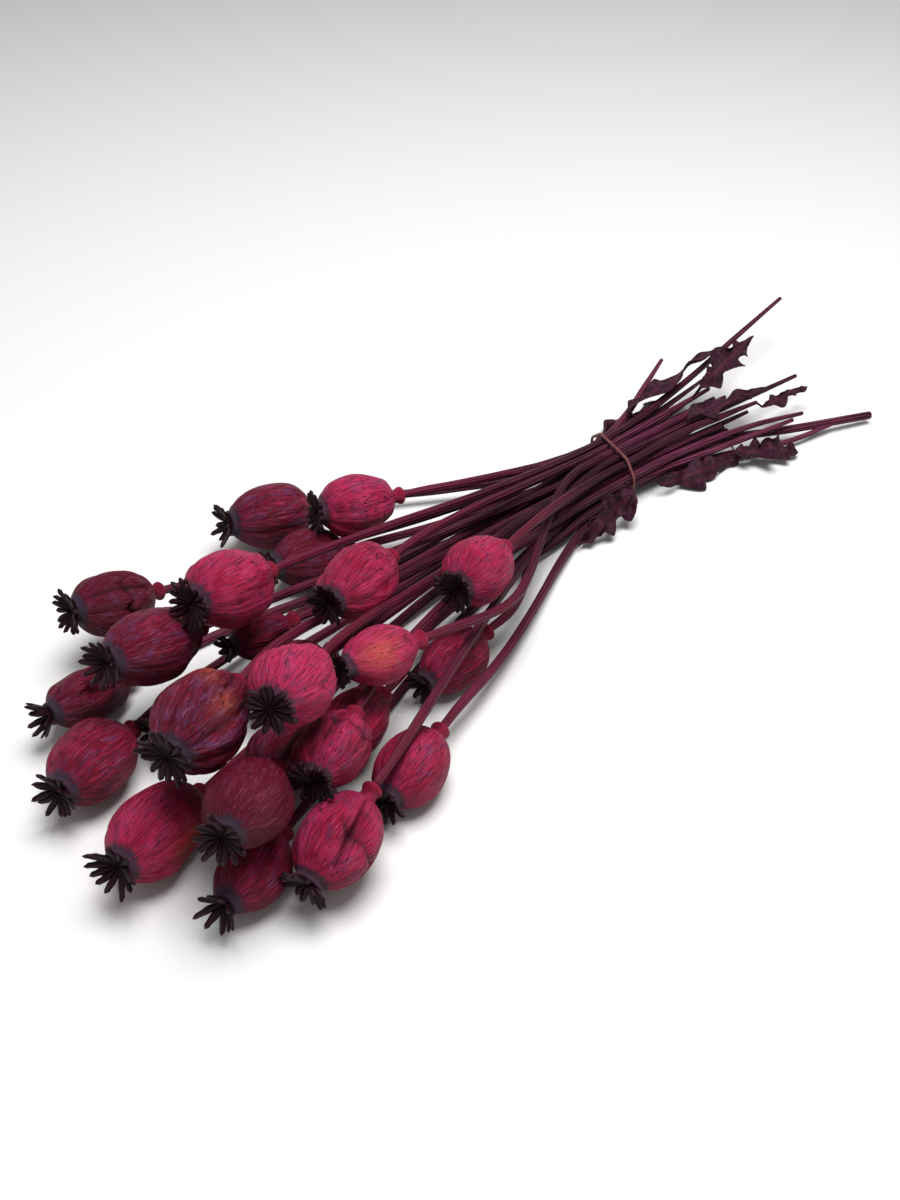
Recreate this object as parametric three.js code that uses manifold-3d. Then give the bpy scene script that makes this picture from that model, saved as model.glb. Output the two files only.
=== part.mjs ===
// A bunch of dried poppy seed heads, lying down: ribbed capsules with star-shaped crowns on long bare
// stems, a few withered leaves near the cut ends, and an elastic band that ties the stems.
// Millimetres and degrees, +Z up. The bunch lies along X with its seed heads towards +X.
import * as THREE from "three";
import { mergeVertices } from "three/addons/utils/BufferGeometryUtils.js";
import Module from "manifold-3d";

const wasm = await Module();
wasm.setup();

// Driving dimensions of the seed heads
const NECK_LENGTH = 8; // from the stem's end to the capsule's base
const KNOB_RADIUS = 3.7; // the swollen ring that the petals fell from
const WAIST_RADIUS = 2.7;
const CROWN_SHARE = 0.53; // crown radius over capsule radius
const CROWN_RISE = 5; // how far the ray tips stand in front of the capsule
const RAY_NOTCH = 0.52; // depth between the rays, as a share of the crown radius
const FLAT_SPOT = 0.5; // how far a resting capsule is pressed flat

// Driving dimensions of the stems
const STEM_SIDES = 6;
const STEM_RADIUS = { cut: 1.8, tie: 2.4, joint: 2.2 };
const JOINT_GAP = 0.35; // stem end to knob
const CLEARANCE = 0.9; // between neighbouring stems and heads while they settle

// Driving dimensions of the tie
const TIE_ROWS = [6, 7, 7, 5]; // stems side by side, from the surface up
const SLOT_PITCH = 6.1;
const ROW_RISE = 5.3;
const LOWEST_ROW = 6.2; // height of the lowest stems' middle
const THROAT = { back: -12, front: 14 }; // where the stems run parallel
const BAND_RADIUS = 1.1;
const BAND_SLANT = 16; // degrees off square to the stems
const BAND_SLACK = 0.5; // between the band and the stems
const KNOT = { angle: -25, swell: 0.9, width: 9 };
const BAND_SEGMENTS = 40;
const BAND_SIDES = 6;

// Driving dimensions of the cut ends
const TAIL_LENGTH = { least: 72, most: 118 };
const TAIL_FAN = 9; // degrees to each side
const TAIL_LIFT = 11; // most that an upper stem's end may rise
const TAIL_DROP = 4; // how far every upper stem's end sinks
const TAIL_STRAY = 4; // degrees that an end may stray from the fan

// Each flower as it lies. Its head's middle is `reach` from the tie and `swing` degrees to the side, at
// `height`, or on the surface where none is given. Its axis turns and tips off the line from the tie.
// `arch` is how high a stem starts above the straight line near its head, so that it comes to lie over
// its neighbour.
const FLOWERS = [
  { reach: 194, swing: -25, turn: 15, tip: 8, wide: 36, long: 42, rays: 10, rib: 0.02 },
  { reach: 160, swing: -14, height: 33, turn: 2, tip: 0, wide: 34, long: 37, rays: 10, rib: 0.04 },
  { reach: 181, swing: -13, turn: 6, tip: 8, wide: 31, long: 36, rays: 9, rib: 0.04 },
  { reach: 257, swing: 1, height: 62, turn: 10, tip: 3, wide: 37, long: 38, rays: 11, rib: 0.025 },
  { reach: 287, swing: -12, height: 30, turn: 15, tip: 14, wide: 32, long: 38, rays: 10, rib: 0.035 },
  { reach: 289, swing: 1, height: 45, turn: 12, tip: 12, wide: 35, long: 46, rays: 10, rib: 0.02 },
  { reach: 316, swing: -5, turn: 16, tip: 12, wide: 28, long: 38, rays: 9, rib: 0.03 },
  { reach: 328, swing: 3, turn: 20, tip: 8, wide: 35, long: 39, rays: 10, rib: 0.03 },
  { reach: 312, swing: 15, height: 59, turn: 12, tip: 0, wide: 38, long: 43, rays: 11, rib: 0.055 },
  { reach: 291, swing: 18, height: 66, turn: 12, tip: 6, wide: 35, long: 36, rays: 11, rib: 0.03 },
  { reach: 340, swing: 11, turn: 12, tip: 12, wide: 36, long: 46, rays: 10, rib: 0.015 },
  { reach: 322, swing: 17, height: 46, turn: 14, tip: 6, wide: 35, long: 37, rays: 10, rib: 0.015 },
  { reach: 328, swing: 19, turn: 5, tip: 6, wide: 30, long: 35, rays: 9, rib: 0.02 },
  { reach: 305, swing: 21, turn: -3, tip: -12, wide: 33, long: 38, rays: 10, rib: 0.05, arch: 40 },
  { reach: 289, swing: 20, height: 38, turn: 10, tip: 0, wide: 31, long: 34, rays: 11, rib: 0.045 },
  { reach: 252, swing: 17, height: 18, turn: 4, tip: 4, wide: 29, long: 33, rays: 8, rib: 0.03 },
  { reach: 278, swing: 14, height: 18, turn: 7, tip: 14, wide: 30, long: 34, rays: 8, rib: 0.03 },
  { reach: 255, swing: 23, turn: -3, tip: 0, wide: 31, long: 37, rays: 9, rib: 0.03 },
  { reach: 202, swing: 8, height: 47, turn: 10, tip: 0, wide: 33, long: 42, rays: 10, rib: 0.02 },
  { reach: 237, swing: 16, height: 54, turn: -18, tip: 0, wide: 25, long: 32, rays: 9, rib: 0.03 },
  { reach: 158, swing: 21, height: 43, turn: -4, tip: -4, wide: 34, long: 35, rays: 11, rib: 0.015 },
  { reach: 186, swing: 18, turn: -10, tip: -4, wide: 29, long: 35, rays: 9, rib: 0.03 },
  { reach: 240, swing: 1, height: 26, turn: 0, tip: 4, wide: 22, long: 27, rays: 8, rib: 0.05 },
  { reach: 241, swing: 5, height: 19, turn: 0, tip: 2, wide: 29, long: 33, rays: 8, rib: 0.03 },
  { reach: 291, swing: 3, height: 19, turn: 2, tip: 2, wide: 33, long: 38, rays: 8, rib: 0.03 },
];

// The cut ends that stand out from the others, by the flower's number, and one stem that stays stout
// as far as its end.
const CUT_ENDS = {
  2: [-87, -43, 30],
  4: [-206, -46, 30],
  9: [-167, 58, 4],
  10: [-156, 8, 15],
  15: [-130, 36, 8],
  18: [-154, 56, 3],
};
const STOUT_STEM = 9;

// How the bunch settles
const TAIL_POINTS = 3; // points of a stem's spine behind the tie
const FRONT_POINTS = 7; // points between the tie and the shoulder
const SHOULDER_LENGTH = 16; // the straight stretch of stem behind a knob
const SETTLE_PASSES = 600;
const PULL_HOME = 0.04; // share of its way home that a head moves in a pass
const SPRING = 0.6; // share of its way that a point of a stem moves to the rod's line
const HEAD_YIELD = 0.3; // share of a shove that a head takes from a stem
const NEAR = 90; // stem points further apart than this can't touch

// Withered leaves, each from its base to its tip, rolled by `lean` degrees about that line. Where one
// would lie in the stems it is pushed `away` from them, so that it drapes over the bundle.
const LEAVES = [
  { name: "leaf_front", base: [12, 27, 17], tip: [58, 31, 4], wide: 27, lean: -58, away: [0, 1, 0] },
  { name: "leaf_near", base: [-12, 26, 8], tip: [-74, 34, 4], wide: 20, lean: 50, away: [0, 1, 0] },
  { name: "leaf_near_tip", base: [-68, 33, 9], tip: [-104, 52, 3], wide: 22, lean: 15, away: [0, 4, 3] },
  { name: "leaf_far", base: [-34, -20, 26], tip: [-124, -29, 31], wide: 17, lean: -35, away: [0, -1, 2] },
  { name: "leaf_top", base: [-78, -5, 31], tip: [-140, -17, 38], wide: 20, lean: 20, away: [0, 0, 1] },
  { name: "leaf_middle", base: [-50, 10, 27], tip: [-116, 15, 25], wide: 18, lean: -10, away: [0, 0, 1] },
  { name: "leaf_end", base: [-104, 22, 20], tip: [-152, 20, 14], wide: 11, lean: 20, away: [0, 1, 2] },
  { name: "leaf_back", base: [-14, -27, 10], tip: [-84, -38, 4], wide: 22, lean: -50, away: [0, -1, 0] },
];
const LEAF_THICKNESS = 0.8;
const LEAF_STEPS = 14;
const LEAF_STRIPS = 4;
const LEAF_STALK = 0.09; // half-width of a leaf's ends, as a share of its widest
const LEAF_NOTCH = 0.45; // depth between the teeth, as a share of the half-width
const LEAF_CUP = 0.35; // how far the edges stand above the midrib, as a share of the half-width
const LEAF_WAVE = 2.2;
const LEAF_CLEARANCE = 3.7; // from a stem's middle to a leaf's middle
const LEAF_REACH = 80; // no leaf lies further than this towards the heads
const LEAF_SHIFT = 0.3; // the steps in which a leaf is pushed out of the stems
const SAMPLE_SPACING = 3.2; // between the points of a stem that a leaf is kept clear of

// Materials
const CAPSULE = { color: 0x7a1530, roughness: 0.62, metalness: 0 };
const STEM = { color: 0x43202e, roughness: 0.7, metalness: 0 };
const LEAF = { color: 0x2a1522, roughness: 0.8, metalness: 0 };
const BAND = { color: 0x7d3b44, roughness: 0.55, metalness: 0 };

const X_AXIS = new THREE.Vector3(1, 0, 0);
const Y_AXIS = new THREE.Vector3(0, 1, 0);
const Z_AXIS = new THREE.Vector3(0, 0, 1);
const TIE_MIDDLE = LOWEST_ROW + (ROW_RISE * (TIE_ROWS.length - 1)) / 2;
const BACK_OF_THROAT = TAIL_POINTS;
const FRONT_OF_THROAT = TAIL_POINTS + 1;
const SHOULDER = FRONT_OF_THROAT + FRONT_POINTS + 1;
const LOWEST_STEM = STEM_RADIUS.tie + 0.1;
const radians = THREE.MathUtils.degToRad;

// A repeatable stream of numbers from 0 to 1.
function draws(seed) {
  let state = seed >>> 0;
  return () => {
    state = (state + 0x6d2b79f5) >>> 0;
    let t = Math.imul(state ^ (state >>> 15), 1 | state);
    t = (t + Math.imul(t ^ (t >>> 7), 61 | t)) ^ t;
    return ((t ^ (t >>> 14)) >>> 0) / 4294967296;
  };
}

// A direction from its heading round Z and its pitch above the surface.
function direction(heading, pitch) {
  const flat = Math.cos(radians(pitch));
  return new THREE.Vector3(
    flat * Math.cos(radians(heading)),
    flat * Math.sin(radians(heading)),
    Math.sin(radians(pitch)),
  );
}

// The reach of a crown's rays.
function crownRadius(flower) {
  return (CROWN_SHARE * flower.wide) / 2;
}

// One seed head about its own middle, its crown towards +Y: knob, waist, capsule, collar and crown are
// one turned outline. Odd meridians fall back between the rays and into the furrows between the ribs.
function seedHeadGeometry(flower) {
  const r = flower.wide / 2;
  const half = flower.long / 2;
  const joint = -half - NECK_LENGTH;
  const crown = crownRadius(flower);
  const outline = [
    [0, joint],
    [STEM_RADIUS.joint, joint],
    [KNOB_RADIUS, joint + 2],
    [WAIST_RADIUS, joint + 5],
    [0.34 * r, -0.97 * half],
    [0.84 * r, -0.62 * half],
    [r, -0.06 * half],
    [0.92 * r, 0.5 * half],
    [0.62 * r, 0.88 * half],
    [0.36 * r, half],
    [crown, half + CROWN_RISE - 1],
    [0.97 * crown, half + CROWN_RISE],
    [0, half + 2.5],
  ].map(([radius, y]) => new THREE.Vector2(radius, y));
  const geometry = new THREE.LatheGeometry(outline, 2 * flower.rays);
  const place = geometry.attributes.position;
  const crownStart = half + CROWN_RISE - 2;
  for (let i = 0; i < place.count; i++) {
    const y = place.getY(i);
    const meridian = Math.floor(i / outline.length) % (2 * flower.rays);
    const between = meridian % 2 === 1;
    let share = 1;
    if (y > crownStart && between) share = 1 - RAY_NOTCH;
    if (Math.abs(y) < 0.9 * half) share = 1 + (between ? -flower.rib : flower.rib);
    place.setX(i, place.getX(i) * share);
    place.setZ(i, place.getZ(i) * share);
  }
  return geometry;
}

// Where each flower starts: its slot in the tie, its head's place and axis, and the stem's spine from
// the cut end to the knob.
function plantFlowers() {
  const random = draws(11);
  const flowers = FLOWERS.map((flower, i) => {
    const rise = THREE.MathUtils.radToDeg(
      Math.atan2((flower.height ?? flower.wide / 2) - TIE_MIDDLE, flower.reach),
    );
    const axis = direction(flower.swing + flower.turn, rise + flower.tip);
    const turned = new THREE.Quaternion().setFromUnitVectors(Y_AXIS, axis);
    const shape = seedHeadGeometry(flower);
    const posed = shape.clone().applyQuaternion(turned);
    posed.computeBoundingBox();
    const lowest = -posed.boundingBox.min.z - FLAT_SPOT;
    const middle = direction(flower.swing, 0).multiplyScalar(flower.reach);
    middle.z = Math.max(flower.height ?? 0, lowest);
    const number = i + 1;
    return { ...flower, number, rise, axis, turned, shape, lowest, middle, home: middle.clone() };
  });
  const byRise = [...flowers].sort((a, b) => a.rise - b.rise);
  TIE_ROWS.forEach((count, row) => {
    const inRow = byRise.splice(0, count).sort((a, b) => a.swing - b.swing);
    inRow.forEach((flower, column) => {
      const side = (column - (count - 1) / 2) * SLOT_PITCH;
      flower.slot = new THREE.Vector3(0, side, LOWEST_ROW + row * ROW_RISE);
      flower.cutEnd = cutEnd(flower, row, random);
    });
  });
  flowers.forEach((flower) => {
    flower.spine = startSpine(flower);
  });
  return flowers;
}

// The stem's cut end, fanned out behind the tie.
function cutEnd(flower, row, random) {
  const stated = CUT_ENDS[flower.number];
  if (stated) return new THREE.Vector3(...stated);
  const widest = ((Math.max(...TIE_ROWS) - 1) / 2) * SLOT_PITCH;
  const length = THREE.MathUtils.lerp(TAIL_LENGTH.least, TAIL_LENGTH.most, random());
  const fan = TAIL_FAN * (flower.slot.y / widest) + TAIL_STRAY * (random() - 0.5);
  const lift = (row / (TIE_ROWS.length - 1)) * TAIL_LIFT * random();
  return new THREE.Vector3(
    -length * Math.cos(radians(fan)),
    flower.slot.y + length * Math.sin(radians(fan)),
    Math.max(LOWEST_STEM, row === 0 ? 0 : flower.slot.z + lift - TAIL_DROP),
  );
}

// The stem's spine before anything settles: straight from the cut end to the tie, and on to the head.
function startSpine(flower) {
  const back = flower.slot.clone().setX(THROAT.back);
  const front = flower.slot.clone().setX(THROAT.front);
  const spine = [];
  for (let i = 0; i < TAIL_POINTS; i++) spine.push(flower.cutEnd.clone().lerp(back, i / TAIL_POINTS));
  spine.push(back, front);
  const shoulder = new THREE.Vector3();
  for (let i = 1; i <= FRONT_POINTS; i++) spine.push(new THREE.Vector3());
  spine.push(shoulder, new THREE.Vector3());
  followHead({ ...flower, spine });
  for (let i = 1; i <= FRONT_POINTS; i++) {
    const share = i / (FRONT_POINTS + 1);
    spine[FRONT_OF_THROAT + i].lerpVectors(front, shoulder, share);
    spine[FRONT_OF_THROAT + i].z += (flower.arch ?? 0) * Math.sin(Math.PI * share ** 3);
  }
  return spine;
}

// The last two points of a spine stay in line with the head.
function followHead(flower) {
  const toJoint = -(flower.long / 2 + NECK_LENGTH + JOINT_GAP);
  flower.spine[SHOULDER + 1].copy(flower.middle).addScaledVector(flower.axis, toJoint);
  flower.spine[SHOULDER].copy(flower.middle).addScaledVector(flower.axis, toJoint - SHOULDER_LENGTH);
}

// A head as balls along its axis: [distance from its middle, radius].
function headBalls(flower) {
  const r = flower.wide / 2;
  const stretch = Math.max(0, flower.long / 2 - r);
  const crown = crownRadius(flower);
  return [
    [-flower.long / 2 - NECK_LENGTH + 2, KNOB_RADIUS],
    [-stretch - 1, r * 0.97],
    [stretch, r * 1.02],
    [flower.long / 2 + CROWN_RISE - crown * 0.35, crown * 1.06],
  ];
}

// Where a ball of a head is.
function ballMiddle(flower, ball) {
  return flower.middle.clone().addScaledVector(flower.axis, ball[0]);
}

// The nearest points of two segments, as shares of their lengths.
function nearestShares(p1, q1, p2, q2) {
  const d1 = q1.clone().sub(p1);
  const d2 = q2.clone().sub(p2);
  const r = p1.clone().sub(p2);
  const a = d1.dot(d1);
  const e = d2.dot(d2);
  const f = d2.dot(r);
  const c = d1.dot(r);
  const b = d1.dot(d2);
  const clamp = (value) => Math.min(1, Math.max(0, value));
  const denominator = a * e - b * b;
  let s = denominator > 1e-9 ? clamp((b * f - c * e) / denominator) : 0.5;
  let t = (b * s + f) / e;
  if (t < 0 || t > 1) {
    t = clamp(t);
    s = clamp((b * t - c) / a);
  }
  return [s, t];
}

// The two points of a spine that the tie holds.
const isPinned = (i) => i === BACK_OF_THROAT || i === FRONT_OF_THROAT;

// Moves a point of a spine, or the head if the point is fixed to it.
function shove(flower, i, step) {
  if (isPinned(i)) return;
  if (i >= SHOULDER) flower.middle.add(step.clone().multiplyScalar(0.5));
  else flower.spine[i].add(step);
}

// Lets the bunch settle: stems bend like springy rods, heads drift home, and whatever touches is parted.
function settle(flowers) {
  for (let pass = 0; pass < SETTLE_PASSES; pass++) {
    flowers.forEach(relaxStem);
    flowers.forEach((a, i) => flowers.slice(i + 1).forEach((b) => part(a, b)));
    flowers.forEach(restOnSurface);
  }
}

// Each point moves to where a springy rod through its four neighbours would be. Past a clamped end, in
// the throat or at the shoulder, the rod goes on in a straight line.
function relaxStem(flower) {
  const p = flower.spine;
  flower.middle.lerp(flower.home, PULL_HOME);
  for (let i = 1; i < SHOULDER; i++) {
    if (isPinned(i)) continue;
    const target = p[i - 1].clone().add(p[i + 1]);
    const spacing = p[i - 1].distanceTo(p[i + 1]) / 2;
    let before = p[i - 2];
    let after = p[i + 2];
    if (i === FRONT_OF_THROAT + 1) before = p[i - 1].clone().addScaledVector(X_AXIS, -spacing);
    if (i === BACK_OF_THROAT - 1) after = p[i + 1].clone().addScaledVector(X_AXIS, spacing);
    if (i === SHOULDER - 1) after = p[i + 1].clone().addScaledVector(flower.axis, spacing);
    if (i === 1) target.multiplyScalar(0.5);
    else target.multiplyScalar(4).sub(before).sub(after).divideScalar(6);
    p[i].lerp(target, SPRING);
  }
  followHead(flower);
}

// Keeps a flower on the surface.
function restOnSurface(flower) {
  flower.middle.z = Math.max(flower.middle.z, flower.lowest);
  flower.spine.forEach((point, i) => {
    if (i < SHOULDER) point.z = Math.max(point.z, LOWEST_STEM);
  });
  followHead(flower);
}

// Pushes two flowers apart where their heads or stems are closer than they can be.
function part(a, b) {
  const ballsA = headBalls(a);
  const ballsB = headBalls(b);
  for (const ballA of ballsA) {
    for (const ballB of ballsB) {
      const apart = ballMiddle(a, ballA).sub(ballMiddle(b, ballB));
      const short = ballA[1] + ballB[1] + CLEARANCE - apart.length();
      if (short <= 0) continue;
      const step = apart.normalize().multiplyScalar(short * 0.5);
      a.middle.add(step);
      b.middle.sub(step);
    }
  }
  partHeadFromStem(a, ballsA, b);
  partHeadFromStem(b, ballsB, a);
  partStems(a, b);
}

// Pushes another flower's stem off a head.
function partHeadFromStem(owner, balls, other) {
  for (const ball of balls) {
    for (let i = FRONT_OF_THROAT; i <= SHOULDER; i++) {
      const middle = ballMiddle(owner, ball);
      const segment = new THREE.Line3(other.spine[i], other.spine[i + 1]);
      const share = segment.closestPointToPointParameter(middle, true);
      const apart = segment.at(share, new THREE.Vector3()).sub(middle);
      const short = ball[1] + STEM_RADIUS.tie + CLEARANCE - apart.length();
      if (short <= 0) continue;
      const step = apart.normalize().multiplyScalar(short);
      shove(other, i, step.clone().multiplyScalar(1 - share));
      shove(other, i + 1, step.clone().multiplyScalar(share));
      owner.middle.addScaledVector(step, -HEAD_YIELD);
    }
  }
}

// Pushes two stems apart wherever they touch.
function partStems(a, b) {
  const least = 2 * STEM_RADIUS.tie + CLEARANCE;
  for (let i = 0; i <= SHOULDER; i++) {
    for (let j = 0; j <= SHOULDER; j++) {
      if (a.spine[i].distanceTo(b.spine[j]) > NEAR) continue;
      const [s, t] = nearestShares(a.spine[i], a.spine[i + 1], b.spine[j], b.spine[j + 1]);
      const onA = a.spine[i].clone().lerp(a.spine[i + 1], s);
      const apart = onA.sub(b.spine[j].clone().lerp(b.spine[j + 1], t));
      const short = least - apart.length();
      if (short <= 0) continue;
      const step = apart.normalize().multiplyScalar(short * 0.5);
      shove(a, i, step.clone().multiplyScalar(1 - s));
      shove(a, i + 1, step.clone().multiplyScalar(s));
      step.negate();
      shove(b, j, step.clone().multiplyScalar(1 - t));
      shove(b, j + 1, step.clone().multiplyScalar(t));
    }
  }
}

// A closed solid from a geometry, for the cut below.
function solidOf(geometry) {
  const bare = geometry.clone();
  bare.deleteAttribute("normal");
  bare.deleteAttribute("uv");
  const merged = mergeVertices(bare, 1e-3);
  return new wasm.Manifold(
    new wasm.Mesh({
      numProp: 3,
      vertProperties: new Float32Array(merged.attributes.position.array),
      triVerts: new Uint32Array(merged.index.array),
    }),
  );
}

// A geometry from a solid.
function geometryOf(solid) {
  const mesh = solid.getMesh();
  const geometry = new THREE.BufferGeometry();
  geometry.setAttribute("position", new THREE.BufferAttribute(new Float32Array(mesh.vertProperties), 3));
  geometry.setIndex(new THREE.BufferAttribute(new Uint32Array(mesh.triVerts), 1));
  geometry.computeVertexNormals();
  return geometry;
}

// The name of a flower's head or stem.
function nodeName(kind, flower) {
  return `${kind}_${String(flower.number).padStart(2, "0")}`;
}

// A seed head in its place. One that reaches the surface is pressed flat there.
function seedHead(flower) {
  const mesh = new THREE.Mesh(flower.shape, new THREE.MeshStandardMaterial(CAPSULE));
  mesh.name = nodeName("seed_head", flower);
  mesh.position.copy(flower.middle);
  mesh.quaternion.copy(flower.turned);
  mesh.updateMatrix();
  if (flower.middle.z < flower.lowest + FLAT_SPOT) {
    const block = new THREE.BoxGeometry(2 * flower.long, 2 * flower.long, flower.long);
    block.translate(flower.middle.x, flower.middle.y, -flower.long / 2);
    block.applyMatrix4(mesh.matrix.clone().invert());
    mesh.geometry = geometryOf(solidOf(flower.shape).subtract(solidOf(block)));
  }
  return mesh;
}

// A stem swells from its cut end to the tie and narrows a little again towards its knob.
function stemRadius(flower, x) {
  const { cut, tie, joint } = STEM_RADIUS;
  const { mapLinear } = THREE.MathUtils;
  if (x > THROAT.back) return mapLinear(x, THROAT.back, flower.reach, tie, joint);
  const end = flower.number === STOUT_STEM ? tie : cut;
  return mapLinear(x, flower.spine[0].x, THROAT.back, end, tie);
}

// A stem from its cut end to its knob: a tapering cylinder with a ring at each point of the spine.
function stem(flower) {
  const { spine } = flower;
  const last = spine.length - 1;
  const geometry = new THREE.CylinderGeometry(1, 1, 1, STEM_SIDES, last);
  const place = geometry.attributes.position;
  const point = new THREE.Vector3();
  for (let i = 0; i < place.count; i++) {
    const ring = Math.round((place.getY(i) + 0.5) * last);
    const before = spine[Math.max(ring - 1, 0)];
    const along = spine[Math.min(ring + 1, last)].clone().sub(before).normalize();
    const side = Z_AXIS.clone().cross(along).normalize();
    const over = along.clone().cross(side);
    const radius = stemRadius(flower, spine[ring].x);
    point.copy(spine[ring]);
    point.addScaledVector(side, place.getX(i) * radius);
    point.addScaledVector(over, -place.getZ(i) * radius);
    place.setXYZ(i, point.x, point.y, point.z);
  }
  geometry.computeVertexNormals();
  const mesh = new THREE.Mesh(geometry, new THREE.MeshStandardMaterial(STEM));
  mesh.name = nodeName("stem", flower);
  return mesh;
}

// Points along every stem near the tie and behind it.
function stemSamples(flowers) {
  const samples = [];
  for (const { spine } of flowers) {
    for (let i = 0; spine[i].x < LEAF_REACH; i++) {
      const steps = Math.ceil(spine[i].distanceTo(spine[i + 1]) / SAMPLE_SPACING);
      for (let k = 0; k < steps; k++) samples.push(spine[i].clone().lerp(spine[i + 1], k / steps));
    }
  }
  return samples;
}

// The middle surface of a leaf as rows of points across it, from its base to its tip.
function leafRows(leaf, along, normal, random) {
  const base = new THREE.Vector3(...leaf.base);
  const tip = new THREE.Vector3(...leaf.tip);
  const side = normal.clone().cross(along);
  const phase = 2 * Math.PI * random();
  const rows = [];
  for (let i = 0; i <= LEAF_STEPS; i++) {
    const share = i / LEAF_STEPS;
    const full = LEAF_STALK + (1 - LEAF_STALK) * Math.sin(Math.PI * share ** 0.8);
    const tooth = i % 2 === 0 && i < LEAF_STEPS && i > 0 ? 1 - LEAF_NOTCH * random() : 1;
    const half = (leaf.wide / 2) * full * tooth;
    const row = [];
    for (let j = 0; j <= LEAF_STRIPS; j++) {
      const across = (2 * j) / LEAF_STRIPS - 1;
      const wave = LEAF_WAVE * full * across * Math.sin(9 * share + phase + across);
      const point = base.clone().lerp(tip, share);
      point.addScaledVector(side, across * half);
      point.addScaledVector(normal, LEAF_CUP * half * across * across + wave);
      row.push(point);
    }
    rows.push(row);
  }
  return rows;
}

// Moves the points of a leaf out of the stems and off the surface it lies on.
function drape(rows, leaf, samples) {
  const step = new THREE.Vector3(...leaf.away).normalize().multiplyScalar(LEAF_SHIFT);
  for (const point of rows.flat()) {
    while (samples.some((sample) => sample.distanceToSquared(point) < LEAF_CLEARANCE ** 2)) point.add(step);
    point.z = Math.max(point.z, LEAF_THICKNESS);
  }
}

// A thin blade with the same triangles on both faces and a rim between them.
function bladeGeometry(rows, normal) {
  const columns = LEAF_STRIPS + 1;
  const points = rows.flat();
  const upper = points.map((point) => point.clone().addScaledVector(normal, LEAF_THICKNESS / 2));
  const lower = points.map((point) => point.clone().addScaledVector(normal, -LEAF_THICKNESS / 2));
  const index = [];
  const quad = (a, b, c, d) => index.push(a, b, c, a, c, d);
  const at = (i, j) => i * columns + j;
  const under = points.length;
  for (let i = 0; i < LEAF_STEPS; i++) {
    for (let j = 0; j < LEAF_STRIPS; j++) {
      quad(at(i, j), at(i + 1, j), at(i + 1, j + 1), at(i, j + 1));
      index.push(under + at(i, j), under + at(i + 1, j + 1), under + at(i + 1, j));
      index.push(under + at(i, j), under + at(i, j + 1), under + at(i + 1, j + 1));
    }
    quad(at(i, 0), under + at(i, 0), under + at(i + 1, 0), at(i + 1, 0));
    const last = LEAF_STRIPS;
    quad(at(i, last), at(i + 1, last), under + at(i + 1, last), under + at(i, last));
  }
  for (let j = 0; j < LEAF_STRIPS; j++) {
    const end = LEAF_STEPS;
    quad(at(0, j), at(0, j + 1), under + at(0, j + 1), under + at(0, j));
    quad(at(end, j), under + at(end, j), under + at(end, j + 1), at(end, j + 1));
  }
  const geometry = new THREE.BufferGeometry().setFromPoints([...upper, ...lower]);
  geometry.setIndex(index);
  geometry.computeVertexNormals();
  return geometry;
}

// One withered leaf, draped over the stems.
function witheredLeaf(leaf, samples, random) {
  const along = new THREE.Vector3(...leaf.tip).sub(new THREE.Vector3(...leaf.base)).normalize();
  const flat = Z_AXIS.clone().cross(along).normalize();
  const normal = along.clone().cross(flat).applyAxisAngle(along, radians(leaf.lean));
  const rows = leafRows(leaf, along, normal, random);
  drape(rows, leaf, samples);
  const mesh = new THREE.Mesh(bladeGeometry(rows, normal), new THREE.MeshStandardMaterial(LEAF));
  mesh.name = leaf.name;
  return mesh;
}

// The elastic band: a ring pulled tight round the stems, with a small knot.
function tieBand(flowers) {
  const geometry = new THREE.TorusGeometry(BAND_SEGMENTS, BAND_RADIUS, BAND_SIDES, BAND_SEGMENTS);
  const place = geometry.attributes.position;
  const slots = flowers.map((flower) => flower.slot);
  const offset = STEM_RADIUS.tie + BAND_SLACK + BAND_RADIUS;
  const lean = Math.tan(radians(BAND_SLANT));
  for (let i = 0; i < place.count; i++) {
    const angle = Math.atan2(place.getY(i), place.getX(i));
    const out = new THREE.Vector3(0, Math.cos(angle), Math.sin(angle));
    const widest = slots.reduce((a, b) => (b.dot(out) > a.dot(out) ? b : a));
    const fromKnot = (angle - radians(KNOT.angle)) / radians(KNOT.width);
    const swell = 1 + KNOT.swell * Math.exp(-fromKnot * fromKnot);
    const radial = Math.hypot(place.getX(i), place.getY(i)) - BAND_SEGMENTS;
    const point = widest.clone().addScaledVector(out, offset + BAND_RADIUS * (swell - 1) + radial * swell);
    place.setXYZ(i, lean * point.y + place.getZ(i) * swell, point.y, point.z);
  }
  geometry.computeVertexNormals();
  const mesh = new THREE.Mesh(geometry, new THREE.MeshStandardMaterial(BAND));
  mesh.name = "tie_band";
  return mesh;
}

const flowers = plantFlowers();
settle(flowers);

const bunch = new THREE.Group();
flowers.forEach((flower) => bunch.add(seedHead(flower), stem(flower)));
bunch.add(tieBand(flowers));
const samples = stemSamples(flowers);
const leafDraws = draws(7);
LEAVES.forEach((leaf) => bunch.add(witheredLeaf(leaf, samples, leafDraws)));

// The origin is under the middle of the bunch, on the surface.
const box = new THREE.Box3().setFromObject(bunch, true);
const middle = box.getCenter(new THREE.Vector3());
bunch.position.set(-middle.x, -middle.y, 0);

const model = new THREE.Group();
model.add(bunch);

export default model;
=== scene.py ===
import math

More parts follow.
